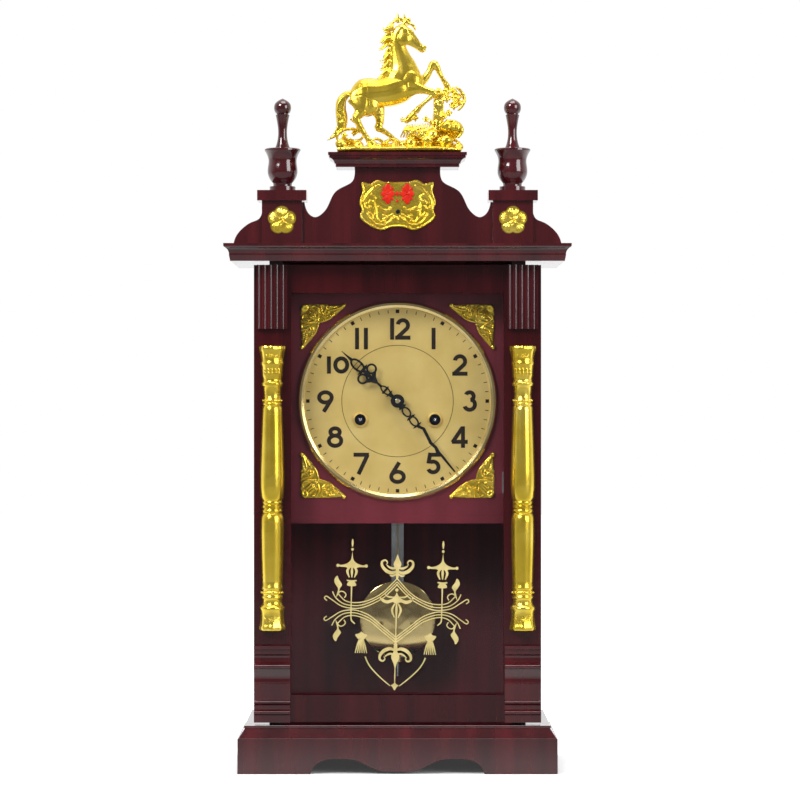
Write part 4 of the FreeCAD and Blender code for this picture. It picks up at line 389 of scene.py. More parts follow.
def horse_body(bm):
    """The trunk, neck and head, with jaws, eyes, brows, nostrils and ears."""
    trunk = ((338, 880, 30, 1.0), (352, 872, 92, 0.80), (405, 862, 138, 0.74), (475, 852, 144, 0.72),
             (560, 846, 134, 0.78), (660, 832, 140, 0.76), (760, 800, 138, 0.70),
             (840, 765, 112, 0.66), (912, 736, 92, 0.62), (950, 722, 62, 0.62), (976, 716, 22, 0.7))
    neck = ((700, 800, 120, 0.6), (782, 700, 168, 0.46), (788, 615, 132, 0.46), (766, 530, 100, 0.46),
            (745, 440, 77, 0.47), (738, 360, 66, 0.50), (752, 290, 58, 0.55), (785, 250, 46, 0.7),
            (800, 240, 20, 0.8))
    head = ((765, 235, 30, 0.8), (790, 280, 66, 0.60), (815, 318, 76, 0.52), (850, 345, 68, 0.50),
            (895, 382, 48, 0.55), (935, 418, 37, 0.62), (965, 441, 34, 0.66), (985, 450, 26, 0.7),
            (996, 455, 10, 0.8))
    for stations in (trunk, neck, head):
        horse_limb(bm, [(x, z, 0, r, share) for x, z, r, share in stations])
    for side in (-1, 1):
        blob(bm, horse_spot(800, 350, side * 3.2), (5.2, 1.6, 5.6))
    for side in (-1, 1):
        blob(bm, horse_spot(862, 288, side * 3.1), (1.5, 0.9, 1.1), 0.5)
        brow = ((835, 272, 3.3, 5), (858, 268, 3.7, 10), (890, 296, 3.0, 5))
        nostril = ((975, 425, 1.6, 6), (992, 418, 2.0, 10), (1002, 432, 1.6, 6))
        cheekbone = ((878, 300, 2.6, 5), (920, 352, 2.6, 8), (955, 398, 2.3, 5))
        for ridge in (brow, nostril, cheekbone):
            horse_limb(bm, [(x, z, side * y, r, 1) for x, z, y, r in ridge])
    for x, z, tip_x, tip_z, y in ((748, 205, 738, 108, -2.6), (806, 196, 800, 112, 2.6)):
        middle = ((x + tip_x) / 2 - 2, (z + tip_z) / 2, y, 17, 0.6)
        horse_limb(bm, [(x, z, y, 20, 0.7), middle, (tip_x, tip_z, y, 2, 1)])


def horse_legs(bm):
    """Four stout legs that swell into the haunches and shoulders."""
    hind_near = ((400, 900, -5, 104, 0.42), (408, 965, -6.5, 80, 0.46), (395, 1030, -7, 46, 0.62),
                 (362, 1078, -7, 32, 0.8), (380, 1130, -7, 24, 0.9), (420, 1200, -7, 19, 0.95),
                 (458, 1265, -7, 20, 0.95), (486, 1300, -7, 25, 0.9), (530, 1340, -7, 31, 0.9))
    hind_far = ((470, 930, 5, 100, 0.40), (545, 985, 6.5, 66, 0.52), (572, 1060, 7, 38, 0.7),
                (572, 1120, 7, 30, 0.8), (560, 1160, 7, 28, 0.85), (606, 1186, 7, 21, 0.95),
                (662, 1226, 7, 19, 0.95), (706, 1268, 7, 21, 0.95), (740, 1296, 7, 26, 0.9),
                (782, 1330, 7, 31, 0.9))
    fore_raised = ((860, 760, 4.5, 90, 0.42), (930, 745, 5.5, 50, 0.58), (990, 705, 6, 33, 0.8),
                   (1032, 640, 6, 25, 0.9), (1066, 572, 6, 29, 0.9), (1096, 590, 6, 26, 0.9),
                   (1126, 655, 6, 19, 1), (1158, 715, 6, 17, 1), (1182, 752, 6, 21, 1),
                   (1200, 790, 6, 25, 0.9), (1212, 812, 6, 22, 0.9))
    fore_bent = ((840, 800, -4.5, 84, 0.42), (920, 810, -6, 46, 0.6), (985, 826, -6.5, 30, 0.8),
                 (1040, 842, -6.5, 26, 0.9), (1074, 858, -6.5, 26, 0.9), (1042, 892, -6.5, 17, 1),
                 (990, 938, -6.5, 14, 1), (950, 975, -6.5, 17, 1), (925, 1000, -6.5, 22, 0.9),
                 (905, 1028, -6.5, 20, 0.9))
    for leg in (hind_near, hind_far, fore_raised, fore_bent):
        horse_limb(bm, [(x, z, y, r * STOUT, share) for x, z, y, r, share in leg])
    for x, z, y in ((395, 900, -6), (850, 745, -5), (850, 745, 5), (400, 900, 6)):
        blob(bm, horse_spot(x, z, y), (9.0, 2.9, 9.4))
    for y in (-5.5, 5.5):
        blob(bm, horse_spot(455, 955, y), (10.4, 4.2, 9.6), 0.3)


def horse_hair(bm):
    """The mane in separate locks, the forelock, and the sweeping tail."""
    def hair(stations):
        horse_limb(bm, stations, 10, 5)

    locks = [((700, 235), (650, 262), (615, 262), (603, 232)),
             ((705, 205), (672, 215), (640, 250), (655, 262)),
             ((690, 300), (640, 310), (600, 350), (570, 388)),
             ((685, 345), (640, 350), (610, 380), (592, 405)),
             ((680, 395), (640, 392), (590, 428), (552, 436)),
             ((678, 440), (650, 445), (620, 500), (600, 520)),
             ((675, 490), (650, 500), (610, 540), (562, 556)),
             ((672, 540), (650, 545), (610, 590), (585, 600)),
             ((672, 585), (648, 590), (605, 618), (560, 622)),
             ((668, 635), (640, 640), (600, 670), (572, 682)),
             ((650, 665), (620, 680), (580, 694), (545, 704))]
    depths = (-1.6, 1.2, 0.2)
    widths = (17, 16, 10, 2)
    for i, lock in enumerate(locks):
        depth = depths[i % 3]
        hair([(x, z, depth, w, 0.85) for (x, z), w in zip(lock, widths)])
        hair([(x + 3, z + 17, -depth, w * 0.7, 0.9) for (x, z), w in zip(lock, widths)])
    forelock = (((760, 190), (730, 175), (700, 190), (668, 205)),
                ((790, 185), (760, 160), (725, 165), (700, 150)),
                ((800, 195), (835, 165), (852, 175), (848, 200)),
                ((790, 205), (822, 190), (838, 205), (828, 228)),
                ((770, 215), (800, 215), (815, 235), (800, 262)),
                ((850, 205), (880, 222), (898, 250), (902, 272)))
    for tuft in forelock:
        hair([(x, z, 0.6, w, 1) for (x, z), w in zip(tuft, (12, 14, 11, 2))])
    hair([(312, 842, 0, 22, 0.8), (262, 866, 0, 34, 0.7), (222, 920, 0, 44, 0.6),
          (216, 1000, 0, 50, 0.5), (226, 1080, 0, 54, 0.5), (222, 1150, 0, 46, 0.5),
          (180, 1215, 0, 28, 0.6), (128, 1258, 0, 13, 0.8), (90, 1280, 0, 3, 1)])
    strand = ((285, 862, -1.8, 0.5), (236, 910, -2.4, 0.9), (216, 990, -2.4, 1.1),
              (222, 1075, -2.4, 1.2), (216, 1150, -2.2, 1.0), (172, 1214, -1.6, 0.5))
    for shift in (-26, -10, 8, 24):
        hair([(x + shift * spread, z, y, 8, 1) for x, z, y, spread in strand])


def horse_rock(bm):
    """The rock base with its wave, curled leaves, flowers and boulders."""
    def twig(*stations):
        horse_limb(bm, stations, 10, 4)

    twig((185, 1370, 0, 30, 4.0), (330, 1366, 0, 36, 4.2), (520, 1370, 0, 34, 4.4),
         (740, 1368, 0, 36, 4.4), (960, 1366, 0, 38, 4.4), (1150, 1366, 0, 38, 4.2),
         (1322, 1372, 0, 26, 4.0))
    lumps = ((220, 1320, -8, 5.0), (300, 1310, 6, 5.4), (380, 1330, -6, 4.4), (250, 1290, 4, 4.6),
             (470, 1345, 7, 3.8), (560, 1345, -9, 3.6), (620, 1330, 2, 4.0), (700, 1340, -6, 3.8),
             (800, 1320, 8, 5.2), (860, 1310, -4, 5.6), (940, 1300, 6, 6.0), (1010, 1290, -7, 5.6),
             (1090, 1280, 4, 6.6), (1180, 1290, -6, 6.4), (1250, 1200, 2, 7.4),
             (1190, 1160, -5, 6.0), (1130, 1210, 7, 6.4), (1270, 1170, -3, 6.2),
             (1060, 1230, -3, 5.6), (960, 1240, 0, 5.0), (870, 1250, 3, 4.4))
    for x, z, y, r in lumps:
        blob(bm, horse_spot(x, z, y), (r, r * 0.95, r * 0.85))
    twig((1095, 1240, 1, 48, 1.2), (1110, 1120, 1, 52, 1.0), (1115, 1000, 1, 48, 0.9),
         (1120, 900, 0, 50, 0.9), (1150, 840, 0, 40, 1.0))
    for k in range(5):
        x = 1078 + 18 * k
        twig((x, 1080, -3.6, 7, 1), (x + 4, 990, -4.2, 8, 1), (x + 10, 900, -3.8, 7, 1))
    for k in range(13):
        x = 800 + 24 * k
        twig((x - 34, 1262, -5.5 + 0.35 * k, 7, 1), (x - 6, 1200, -6.5 + 0.35 * k, 8, 1),
             (x + 30, 1140 - 2 * k, -5.5 + 0.35 * k, 6, 1))
    twig((800, 1110, -2, 20, 1.6), (850, 1080, -2, 34, 1.3), (905, 1010, -4, 20, 1.4),
         (925, 985, -5, 8, 1.4))
    twig((790, 1112, -3, 14, 1.4), (775, 1090, -3, 10, 1.2), (790, 1068, -3, 6, 1.2))
    flowers = ((1180, 850, -4, 46, 6), (1275, 880, -2, 52, 7), (1255, 960, -4, 44, 6),
               (1190, 900, -6, 40, 6), (1160, 1060, -6, 40, 6), (1210, 1030, -3, 34, 5),
               (900, 1080, -5, 34, 5), (1000, 1090, -4, 32, 5), (1050, 1120, -5, 30, 5),
               (1115, 825, -3, 30, 5), (1310, 930, 3, 34, 5), (1250, 820, 4, 36, 6),
               (250, 1240, -5, 34, 5), (340, 1215, -2, 30, 5), (640, 1310, -6, 26, 5),
               (1130, 1290, -8, 34, 5), (870, 1180, -1, 30, 5), (980, 1180, 2, 34, 5))
    for x, z, y, r, petals in flowers:
        for k in range(petals):
            turn = FULL_TURN * k / petals + x
            px, pz = x + 0.62 * r * math.cos(turn), z + 0.62 * r * math.sin(turn)
            blob(bm, horse_spot(px, pz, y - 0.6 * math.sin(3 * turn)),
                 (r * 0.046, r * 0.030, r * 0.026), -turn, 2)
        blob(bm, horse_spot(x, z, y - 1.4), (r * 0.020, r * 0.022, r * 0.020), detail=2)
        blob(bm, horse_spot(x, z, y + 1.0), (r * 0.055, r * 0.03, r * 0.055), detail=2)
    curls = (((190, 1290), (185, 1235), (240, 1190), (330, 1180), (400, 1205), (425, 1235)),
             ((425, 1240), (400, 1275), (340, 1290), (290, 1270)),
             ((300, 1085), (350, 1120), (380, 1170), (375, 1215)),
             ((510, 1280), (545, 1270), (590, 1290), (620, 1330)),
             ((590, 1320), (640, 1290), (700, 1275), (720, 1300)),
             ((1100, 1390), (1120, 1320), (1180, 1280), (1250, 1275), (1310, 1310)),
             ((1120, 1390), (1150, 1340), (1200, 1310), (1250, 1310)),
             ((1270, 790), (1310, 820), (1345, 870), (1350, 930), (1320, 985), (1290, 1010)),
             ((1180, 1100), (1260, 1110), (1320, 1150), (1330, 1210), (1290, 1260)))
    for curl in curls:
        twig(*[(x, z, -3.5, w, 1.3) for (x, z), w in zip(curl, (9, 14, 15, 15, 12, 7))])
    blob(bm, horse_spot(1300, 1345, -4), (4.0, 4.2, 3.8))
    blob(bm, horse_spot(1225, 1345, 3), (6.0, 6.0, 4.6))


ROCK_EDGE = (1050, 1010)
EYE = (862, 290)
NOSTRIL = (990, 427)
MOUTH = (960, 442)
GIRTH = (470, 840)


def horse_marks(spot, normal):
    """Small dents and folds on the cast skin, in millimetres."""
    move = 0.0
    x = spot.x * PICTURE_TALL / STATUE_TALL + PICTURE_MID
    z = PICTURE_FOOT - (spot.z - STATUE_FOOT) * PICTURE_TALL / STATUE_TALL
    if x > ROCK_EDGE[0] or z > ROCK_EDGE[1]:
        move += 0.28 * noise.noise(spot * 0.55) + 0.14 * noise.noise(spot * 1.3)
    if abs(normal.y) > 0.3:
        mouth = abs((z - MOUTH[1]) - 0.30 * (x - MOUTH[0]))
        if 925 < x < 1000 and 425 < z < 470 and mouth < 6:
            move -= 0.45 * (1 - mouth / 6)
        if 10 < math.hypot(x - EYE[0], z - EYE[1]) < 22:
            move -= 0.35
    nostril = math.hypot(x - NOSTRIL[0], z - NOSTRIL[1])
    if nostril < 8:
        move -= 0.5 * (1 - nostril / 8)
    strap = abs((x - GIRTH[0]) - 0.06 * (z - GIRTH[1]))
    if strap < 9 and 715 < z < 980:
        move += 0.16 * (1 - strap / 9)
    return move


def statue():
    bm = bmesh.new()
    horse_body(bm)
    horse_legs(bm)
    horse_hair(bm)
    horse_rock(bm)
    cast(bm, "rearing_horse", gilt, "case", 0.5, 2, ["horse_statue"], horse_marks)


statue()


# Gilt half columns

COLUMN_X, COLUMN_FOOT, COLUMN_TALL = 107.7, 122.4, 244.0
DOOR_FRONT = -52.5
CAPITAL_SHARE, BASE_SHARE = 0.95, 0.07
COLUMN_FACETS = 40
COLUMN_BULGE = 1.06

# Points from foot to capital, as (share of the height, half width).
COLUMN_PROFILE = [(0.0, 10.6), (0.004, 11.1), (0.012, 11.1), (0.018, 10.5), (0.026, 10.2), (0.05, 9.7),
    (0.068, 9.9), (0.073, 10.6), (0.080, 10.7), (0.084, 10.0), (0.090, 8.6), (0.105, 8.2), (0.110, 8.6),
    (0.113, 9.2), (0.119, 9.2), (0.122, 8.5), (0.125, 8.5), (0.129, 9.3), (0.136, 9.3), (0.139, 8.5),
    (0.143, 8.6), (0.147, 9.2), (0.152, 9.2), (0.156, 8.7), (0.19, 9.0), (0.27, 9.6), (0.35, 9.9),
    (0.395, 9.7), (0.408, 8.8), (0.412, 8.0), (0.416, 8.8), (0.423, 8.8), (0.426, 8.0), (0.428, 8.0),
    (0.431, 8.9), (0.438, 8.9), (0.441, 8.0), (0.443, 8.0), (0.446, 8.7), (0.451, 8.7), (0.455, 8.2),
    (0.466, 9.5), (0.50, 10.3), (0.54, 10.4), (0.62, 9.9), (0.72, 9.1), (0.785, 8.5), (0.790, 7.7),
    (0.794, 8.4), (0.799, 8.4), (0.802, 7.6), (0.806, 8.2), (0.811, 8.2), (0.815, 7.4), (0.83, 7.3),
    (0.858, 8.0), (0.862, 9.1), (0.870, 9.2), (0.874, 8.2), (0.885, 8.1), (0.895, 8.8), (0.93, 9.2),
    (0.936, 9.8), (0.941, 9.9), (0.946, 9.3), (0.96, 9.6), (0.978, 10.3), (0.986, 11.1), (0.996, 11.1),
    (1.0, 10.7)]


def lobe(share, turn):
    """How far the scalloped capital and foot swell at a height and a side."""
    if share > CAPITAL_SHARE:
        return 0.5 * (share - CAPITAL_SHARE) / (1 - CAPITAL_SHARE) * math.cos(8 * turn)
    if share < BASE_SHARE:
        return 0.45 * (BASE_SHARE - share) / BASE_SHARE * math.cos(8 * turn)
    return 0.0


def column_spot(side, share, turn, across, forward):
    """A place on an oval around the column, at a share of its height."""
    return (side * COLUMN_X + across * math.cos(turn), DOOR_FRONT - forward * math.sin(turn),
            COLUMN_FOOT + share * COLUMN_TALL)


def half_column(side, word):
    bm = bmesh.new()
    line = []
    for (z0, r0), (z1, r1) in zip(COLUMN_PROFILE, COLUMN_PROFILE[1:]):
        steps = max(1, int((z1 - z0) * COLUMN_TALL / 3))
        line += [(z0 + (z1 - z0) * k / steps, r0 + (r1 - r0) * k / steps) for k in range(steps)]
    line.append(COLUMN_PROFILE[-1])
    rings = []
    for share, radius in line:
        ring = []
        for k in range(COLUMN_FACETS + 1):
            turn = math.pi * k / COLUMN_FACETS
            r = radius + lobe(share, turn)
            ring.append(bm.verts.new(column_spot(side, share, turn, r, COLUMN_BULGE * r)))
        rings.append(ring)
    for a, b in zip(rings, rings[1:]):
        for k in range(COLUMN_FACETS):
            bm.faces.new((a[k], a[k + 1], b[k + 1], b[k]))
        bm.faces.new((a[-1], a[0], b[0], b[-1]))
    bm.faces.new(rings[0])
    bm.faces.new(rings[-1][::-1])
    finish_mesh(bm, "column_" + word, gilt, "door", 50, ["half_columns"])


def column_flower(bm, x, z, radius):
    """A small rosette with a domed eye and curled leaves on the capital or the foot."""
    front = DOOR_FRONT - 10.2
    blob(bm, (x, front - 0.2, z), (radius * 0.42, 1.0, radius * 0.42))
    for k in range(6):
        turn = math.pi / 3 * k + math.pi / 6
        blob(bm, around(x, front + 0.25, z, radius * 0.72, turn),
             (radius * 0.36, 0.8, radius * 0.24), -turn, 2)
    leaf = ((1.0, 0.6, -0.9, 0.3, 0.3), (1.7, 1.3, -0.1, 0.55, 0.6),
            (2.2, 2.4, 0.9, 0.5, 0.6), (1.9, 1.9, 1.4, 0.25, 0.3))
    for way in (-1, 1):
        tube(bm, [(x + way * radius * u, front + y, z + radius * v, high, deep)
                  for u, y, v, high, deep in leaf], 8, 4)


def column_beads(bm, side, share, degrees, reach, size):
    """A row of cast beads around the front of the column."""
    for angle in degrees:
        blob(bm, column_spot(side, share, math.radians(angle), *reach), size, detail=2)


def column_flowers(side, word):
    bm = bmesh.new()
    for share, radius in ((0.968, 2.5), (0.036, 2.8)):
        column_flower(bm, side * COLUMN_X, COLUMN_FOOT + share * COLUMN_TALL, radius)
    for share in (0.905, 0.915):
        column_beads(bm, side, share, range(50, 131, 20), (9.2, 9.5), (0.9, 0.6, 2.4))
    for share, reach in ((0.1325, 9.4), (0.8085, 8.3)):
        column_beads(bm, side, share, range(15, 166, 15), (reach, 1.05 * reach), (0.75, 0.75, 0.85))
    finish_mesh(bm, "column_flowers_" + word, gilt, "door", SOFT)


for side, word in ((-1, "left"), (1, "right")):
    half_column(side, word)
    column_flowers(side, word)


# Rosettes on the finial blocks

ROSETTE_X = 99.0
ROSETTE_REACH = 12.3
ROSETTE_RINGS, ROSETTE_SIDES = 20, 150
EYE_SHARE = 0.26
VEIN_SHARES = (0.3, 0.93)


def petal_rise(share, turn, fold):
    """Height of a petal above the rear at a share of its length; fold is 1 along its middle."""
    rise = 0.55 + 1.15 * math.sin(math.pi * min(share * 1.15, 1)) * (0.12 + 0.88 * fold)
    rise -= 0.5 * share ** 6
    first, last = VEIN_SHARES
    if first < share < last:
        rise += 0.16 * math.cos(30 * turn) * math.sin(math.pi * (share - first) / (last - first))
    if share < EYE_SHARE:
        rise += math.cos(math.pi * share / (2 * EYE_SHARE))
    return max(rise, 0.25)


def rosette(side, word):
    """A five-petalled cast flower with veined petals and a beaded eye."""
    low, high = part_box("rosettes")
    x0, z0 = side * ROSETTE_X, (low[2] + high[2]) / 2 / MM
    front, rear = low[1] / MM, high[1] / MM
    bm = bmesh.new()
    grid = []
    for i in range(1, ROSETTE_RINGS + 1):
        share = i / ROSETTE_RINGS
        ring = []
        for k in range(ROSETTE_SIDES):
            turn = FULL_TURN * k / ROSETTE_SIDES
            fold = abs(math.cos(2.5 * (turn - math.pi / 2)))
            r = share * ROSETTE_REACH * (0.80 + 0.20 * fold ** 0.7)
            y = max(rear - petal_rise(share, turn - math.pi / 2, fold), front - 0.4)
            ring.append(bm.verts.new(around(x0, y, z0, r, turn)))
        grid.append(ring)
    back = [bm.verts.new((v.co.x, rear, v.co.z)) for v in grid[-1]]
    grid.append(back)
    for a, b in zip(grid, grid[1:]):
        for k in range(-1, ROSETTE_SIDES - 1):
            bm.faces.new((a[k], a[k + 1], b[k + 1], b[k]))
    middle_y = max(rear - petal_rise(0, 0, 1), front - 0.4)
    centre = bm.verts.new((x0, middle_y, z0))
    for k in range(-1, ROSETTE_SIDES - 1):
        bm.faces.new((centre, grid[0][k], grid[0][k + 1]))
    bm.faces.new(back)
    for k in range(5):
        turn = math.pi / 2 + FULL_TURN * (k + 0.5) / 5
        blob(bm, around(x0, rear - 1.7, z0, ROSETTE_REACH * 0.16, turn), (0.55, 0.55, 0.55), detail=2)
    finish_mesh(bm, "rosette_" + word, gilt, "case", 60, ["rosettes"])


rosette(-1, "left")
rosette(1, "right")


# Cast corner pieces of the dial

SPANDREL_SPOT = 84.0
SPANDREL_UNIT = 0.87 / 22.4
SPANDREL_PLATE = 0.75
DIAL_LEVEL = 319.2


def spandrel(sx, sz, word):
    """A cast leaf-scroll corner: drawn from its outer corner, then mirrored to its place."""
    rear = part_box("corner_spandrels")[1][1] / MM
    bm = bmesh.new()

    def spot(u, v, y=0.0):
        return (sx * (SPANDREL_SPOT - u * SPANDREL_UNIT), rear - 0.7 - y,
                DIAL_LEVEL + sz * (SPANDREL_SPOT - v * SPANDREL_UNIT))

    def stroke(points, widths, rise):
        """A leaf or scroll, and its twin across the diagonal."""
        for flip in (False, True):
            line = []
            for (u, v), w in zip(points, widths):
                a, b = (v, u) if flip else (u, v)
                line.append((*spot(a, b, rise), w * SPANDREL_UNIT, max(w * SPANDREL_UNIT * 0.75, 0.35)))
            tube(bm, line, 10, 5)

    edge = [(10, 40), (60, 8), (200, 0), (480, -6), (700, 5), (960, 20), (1000, 60), (900, 130),
            (800, 230), (700, 300), (560, 360), (420, 395), (385, 420)]
    outline = edge + [(v, u) for u, v in reversed(edge[:-1])][:-1]
    ring = [spot(u, v) for u, v in outline]
    slab(bm, [(x, z) for x, _, z in ring], rear - SPANDREL_PLATE, rear)
    stroke([(20, 130), (45, 60), (110, 30), (150, 70)], (26, 40, 40, 20), 0.9)
    blob(bm, spot(85, 85, 0.8), (3.1, 0.9, 3.1))
    for shift in (-38.5, 0, 38.5):
        half = shift * 0.5
        tube(bm, [(*spot(150 + shift, 150 - shift, 0.5), 0.7, 0.7),
                  (*spot(250 + shift, 250 - shift, 0.9), 0.9, 0.8),
                  (*spot(345 + half, 345 - half, 0.6), 0.6, 0.6)], 8, 4)
    for points, widths, rise in (
            ([(240, 50), (300, 30), (370, 80), (400, 180), (380, 300), (400, 380)],
             (14, 22, 26, 26, 22, 14), 0.8),
            ([(290, 90), (330, 110), (345, 170), (320, 220)], (12, 18, 18, 8), 0.5),
            ([(420, 20), (450, 90), (480, 200), (540, 270), (600, 270)], (12, 20, 24, 22, 12), 0.8),
            ([(470, 10), (540, 30), (560, 110), (520, 170), (560, 210), (610, 190), (600, 140)],
             (12, 20, 22, 18, 18, 16, 10), 0.7),
            ([(400, 400), (520, 370), (640, 320), (720, 250), (690, 210)], (16, 26, 28, 22, 10), 0.7)):
        stroke(points, widths, rise)
    for k in range(7):
        u = 620 + 48 * k
        w = 20 - 1.4 * k
        stroke([(u, 18 + 2 * k), (u + 20, 60 + 2 * k), (u - 5, 110 - 6 * k)], (w * 0.6, w, w * 0.4), 0.6)
    for k in range(5):
        u = 690 + 56 * k
        stroke([(u - 15, 235 - 38 * k), (u + 20, 205 - 36 * k), (u + 45, 175 - 34 * k)], (8, 16, 7), 0.45)
    stroke([(640, 130), (760, 110), (880, 70), (950, 35)], (12, 14, 12, 12), 0.9)
    for u, v in ((962, 20), (20, 962)):
        blob(bm, spot(u, v, 0.5), (1.9, 1.2, 1.9))
    cast(bm, "spandrel_" + word, gilt, "case", 0.34, 1, ["corner_spandrels"])


for sx, sz, word in ((-1, 1, "top_left"), (1, 1, "top_right"), (-1, -1, "low_left"), (1, -1, "low_right")):
    spandrel(sx, sz, word)


# Cast plaque on the crest, with enamel blossoms and a screw

PLAQUE_RELIEF = 0.9
PLAQUE_HALF = [(0.32, 0.92), (0.52, 1.0), (0.72, 0.84), (0.94, 0.90), (0.92, 0.54), (1.0, 0.10),
               (0.94, -0.20), (0.98, -0.50), (0.76, -0.80), (0.44, -1.0), (0.16, -0.88)]
PLAQUE_SCROLLS = (
    ((15.5, 17.2, 0.8), (21.0, 13.6, 1.2), (25.5, 8.6, 1.4), (28.6, 3.4, 1.3), (28.4, -2.0, 1.1),
     (24.6, -3.4, 1.0), (23.4, -0.6, 0.7)),
    ((19.5, 0.8, 0.7), (18.6, -5.4, 1.2), (18.2, -11.0, 1.2), (14.8, -14.8, 1.0), (11.0, -13.4, 0.7)),
    ((26.0, -7.6, 0.7), (23.0, -12.8, 1.1), (18.4, -16.6, 1.3), (11.6, -17.2, 1.1), (6.4, -14.0, 0.9),
     (5.6, -10.6, 0.6)),
    ((16.4, -1.4, 0.8), (12.4, -4.8, 1.5), (7.8, -4.6, 1.1), (5.6, -1.8, 0.6)),
    ((22.6, 9.2, 0.6), (19.6, 6.2, 1.0), (20.8, 2.8, 0.8), (23.8, 4.0, 0.5)),
    ((12.6, -8.6, 0.6), (9.6, -10.6, 1.1), (12.4, -12.4, 0.7)),
    ((24.8, -6.2, 0.5), (22.2, -8.6, 0.9), (21.2, -12.0, 0.5)))
BLOSSOM_X, BLOSSOM_Z = 8.3, 9.6
SCREW_X, SCREW_Z = 0.4, -5.7


def hammered(spot, normal):
    """The uneven front of the plaque, in millimetres."""
    if normal.y > -0.5:
        return 0.0
    return 0.16 * noise.noise(spot * 0.9) + 0.07 * noise.noise(spot * 2.3)


def plaque_cast(x0, z0, wide, tall, face, rear):
    """Hammered ground, notched rim and mirrored acanthus scrolls."""
    bm = bmesh.new()
    ring = PLAQUE_HALF + [(-a, b) for a, b in reversed(PLAQUE_HALF)]
    loop = ring + ring[:1]
    slab(bm, [(x0 + a * wide, z0 + b * tall) for a, b in sampled(loop, 5)[:-1]], face, rear)
    tube(bm, [(x0 + a * (wide - 0.9), face, z0 + b * (tall - 0.9), 0.85, 0.8) for a, b in loop], 10, 5)
    for points in PLAQUE_SCROLLS:
        for side in (-1, 1):
            tube(bm, [(x0 + side * u, face - 0.35, z0 + v, w, w * 0.75) for u, v, w in points], 10, 6)
    for side in (-1, 1):
        for k in range(6):
            turn = math.radians(35 + 26 * k)
            spot = (x0 + side * (22.6 + 3.4 * math.cos(turn)), face - 0.3, z0 - 0.4 + 3.4 * math.sin(turn))
            blob(bm, spot, (0.85, 0.55, 0.5), -side * turn, 2)
        for k in range(5):
            spot = (x0 + side * (8.0 + 3.0 * k), face - 0.35, z0 - 19.0 + 0.35 * k)
            blob(bm, spot, (1.0, 0.6, 0.7), detail=2)
    for k in range(5):
        turn = math.radians(-90 + 30 * (k - 2))
        blob(bm, around(x0, face - 0.4, z0 + SCREW_Z, 6.2, turn), (2.1, 0.7, 0.8), -turn, 2)
    cast(bm, "plaque_cast", gilt, "case", 0.3, 1, ["crest_plaque"], hammered)


def plaque_enamel(x0, z0, face):
    """Two blossoms of eight petals with a small bow and a drop between them."""
    bm = bmesh.new()
    level = z0 + BLOSSOM_Z
    for x in (x0 - BLOSSOM_X, x0 + BLOSSOM_X):
        for k, reach in enumerate((5.9, 8.8, 5.9, 8.8)):
            turn = math.pi / 2 * k
            reach *= 0.56
            blob(bm, around(x, face - 0.75, level, reach, turn), (reach * 0.8, 0.6, 2.7), -turn)
        for k in range(4):
            turn = math.pi / 4 + math.pi / 2 * k
            blob(bm, (x + 4.4 * math.cos(turn), face - 0.7, level + 5.6 * math.sin(turn)),
                 (2.4, 0.55, 1.3), -turn, 2)
        blob(bm, (x, face - 0.9, level), (1.2, 0.7, 1.2), detail=2)
    blob(bm, (x0, face - 0.8, level), (1.1, 0.6, 2.6), detail=2)
    for side in (-1, 1):
        blob(bm, (x0 + side * 2.2, face - 0.75, level), (1.6, 0.5, 0.7), detail=2)
    blob(bm, (x0, face - 0.7, z0 + 3.4), (1.0, 0.6, 1.5), detail=2)
    finish_mesh(bm, "plaque_enamel", red_enamel, "case", SOFT)


def plaque_screw(x, z, face):
    bm = bmesh.new()
    tube(bm, [(x, face + 0.2, z, 0, 0), (x, face - 0.4, z, 1.9, 1.9)], 20, 1)
    blob(bm, (x, face - 0.35, z), (2.0, 0.85, 2.0))
    finish_mesh(bm, "plaque_screw", hand_black, "case", 60)


def plaque():
    low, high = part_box("crest_plaque")
    x0, z0 = (low[0] + high[0]) / 2 / MM, (low[2] + high[2]) / 2 / MM
    wide, tall = (high[0] - low[0]) / 2 / MM, (high[2] - low[2]) / 2 / MM
    rear = high[1] / MM
    face = rear - PLAQUE_RELIEF
    plaque_cast(x0, z0, wide, tall, face, rear)
    plaque_enamel(x0, z0, face)
    plaque_screw(x0 + SCREW_X, z0 + SCREW_Z, face)


plaque()


# Gold print on the window glass

PRINT_UNIT = 0.0992
PRINT_CENTRE = (-1.0, 137.1)
PRINT_LEAN = math.radians(-1.4)
PRINT_THICK = 0.05
PRINT_LIFT = 0.004
PRINT_LIFTS = 12
PRINT_LINE = 9
# The level at which the upper arms are mirrored to make the lower ones.
PRINT_FOLD = 32


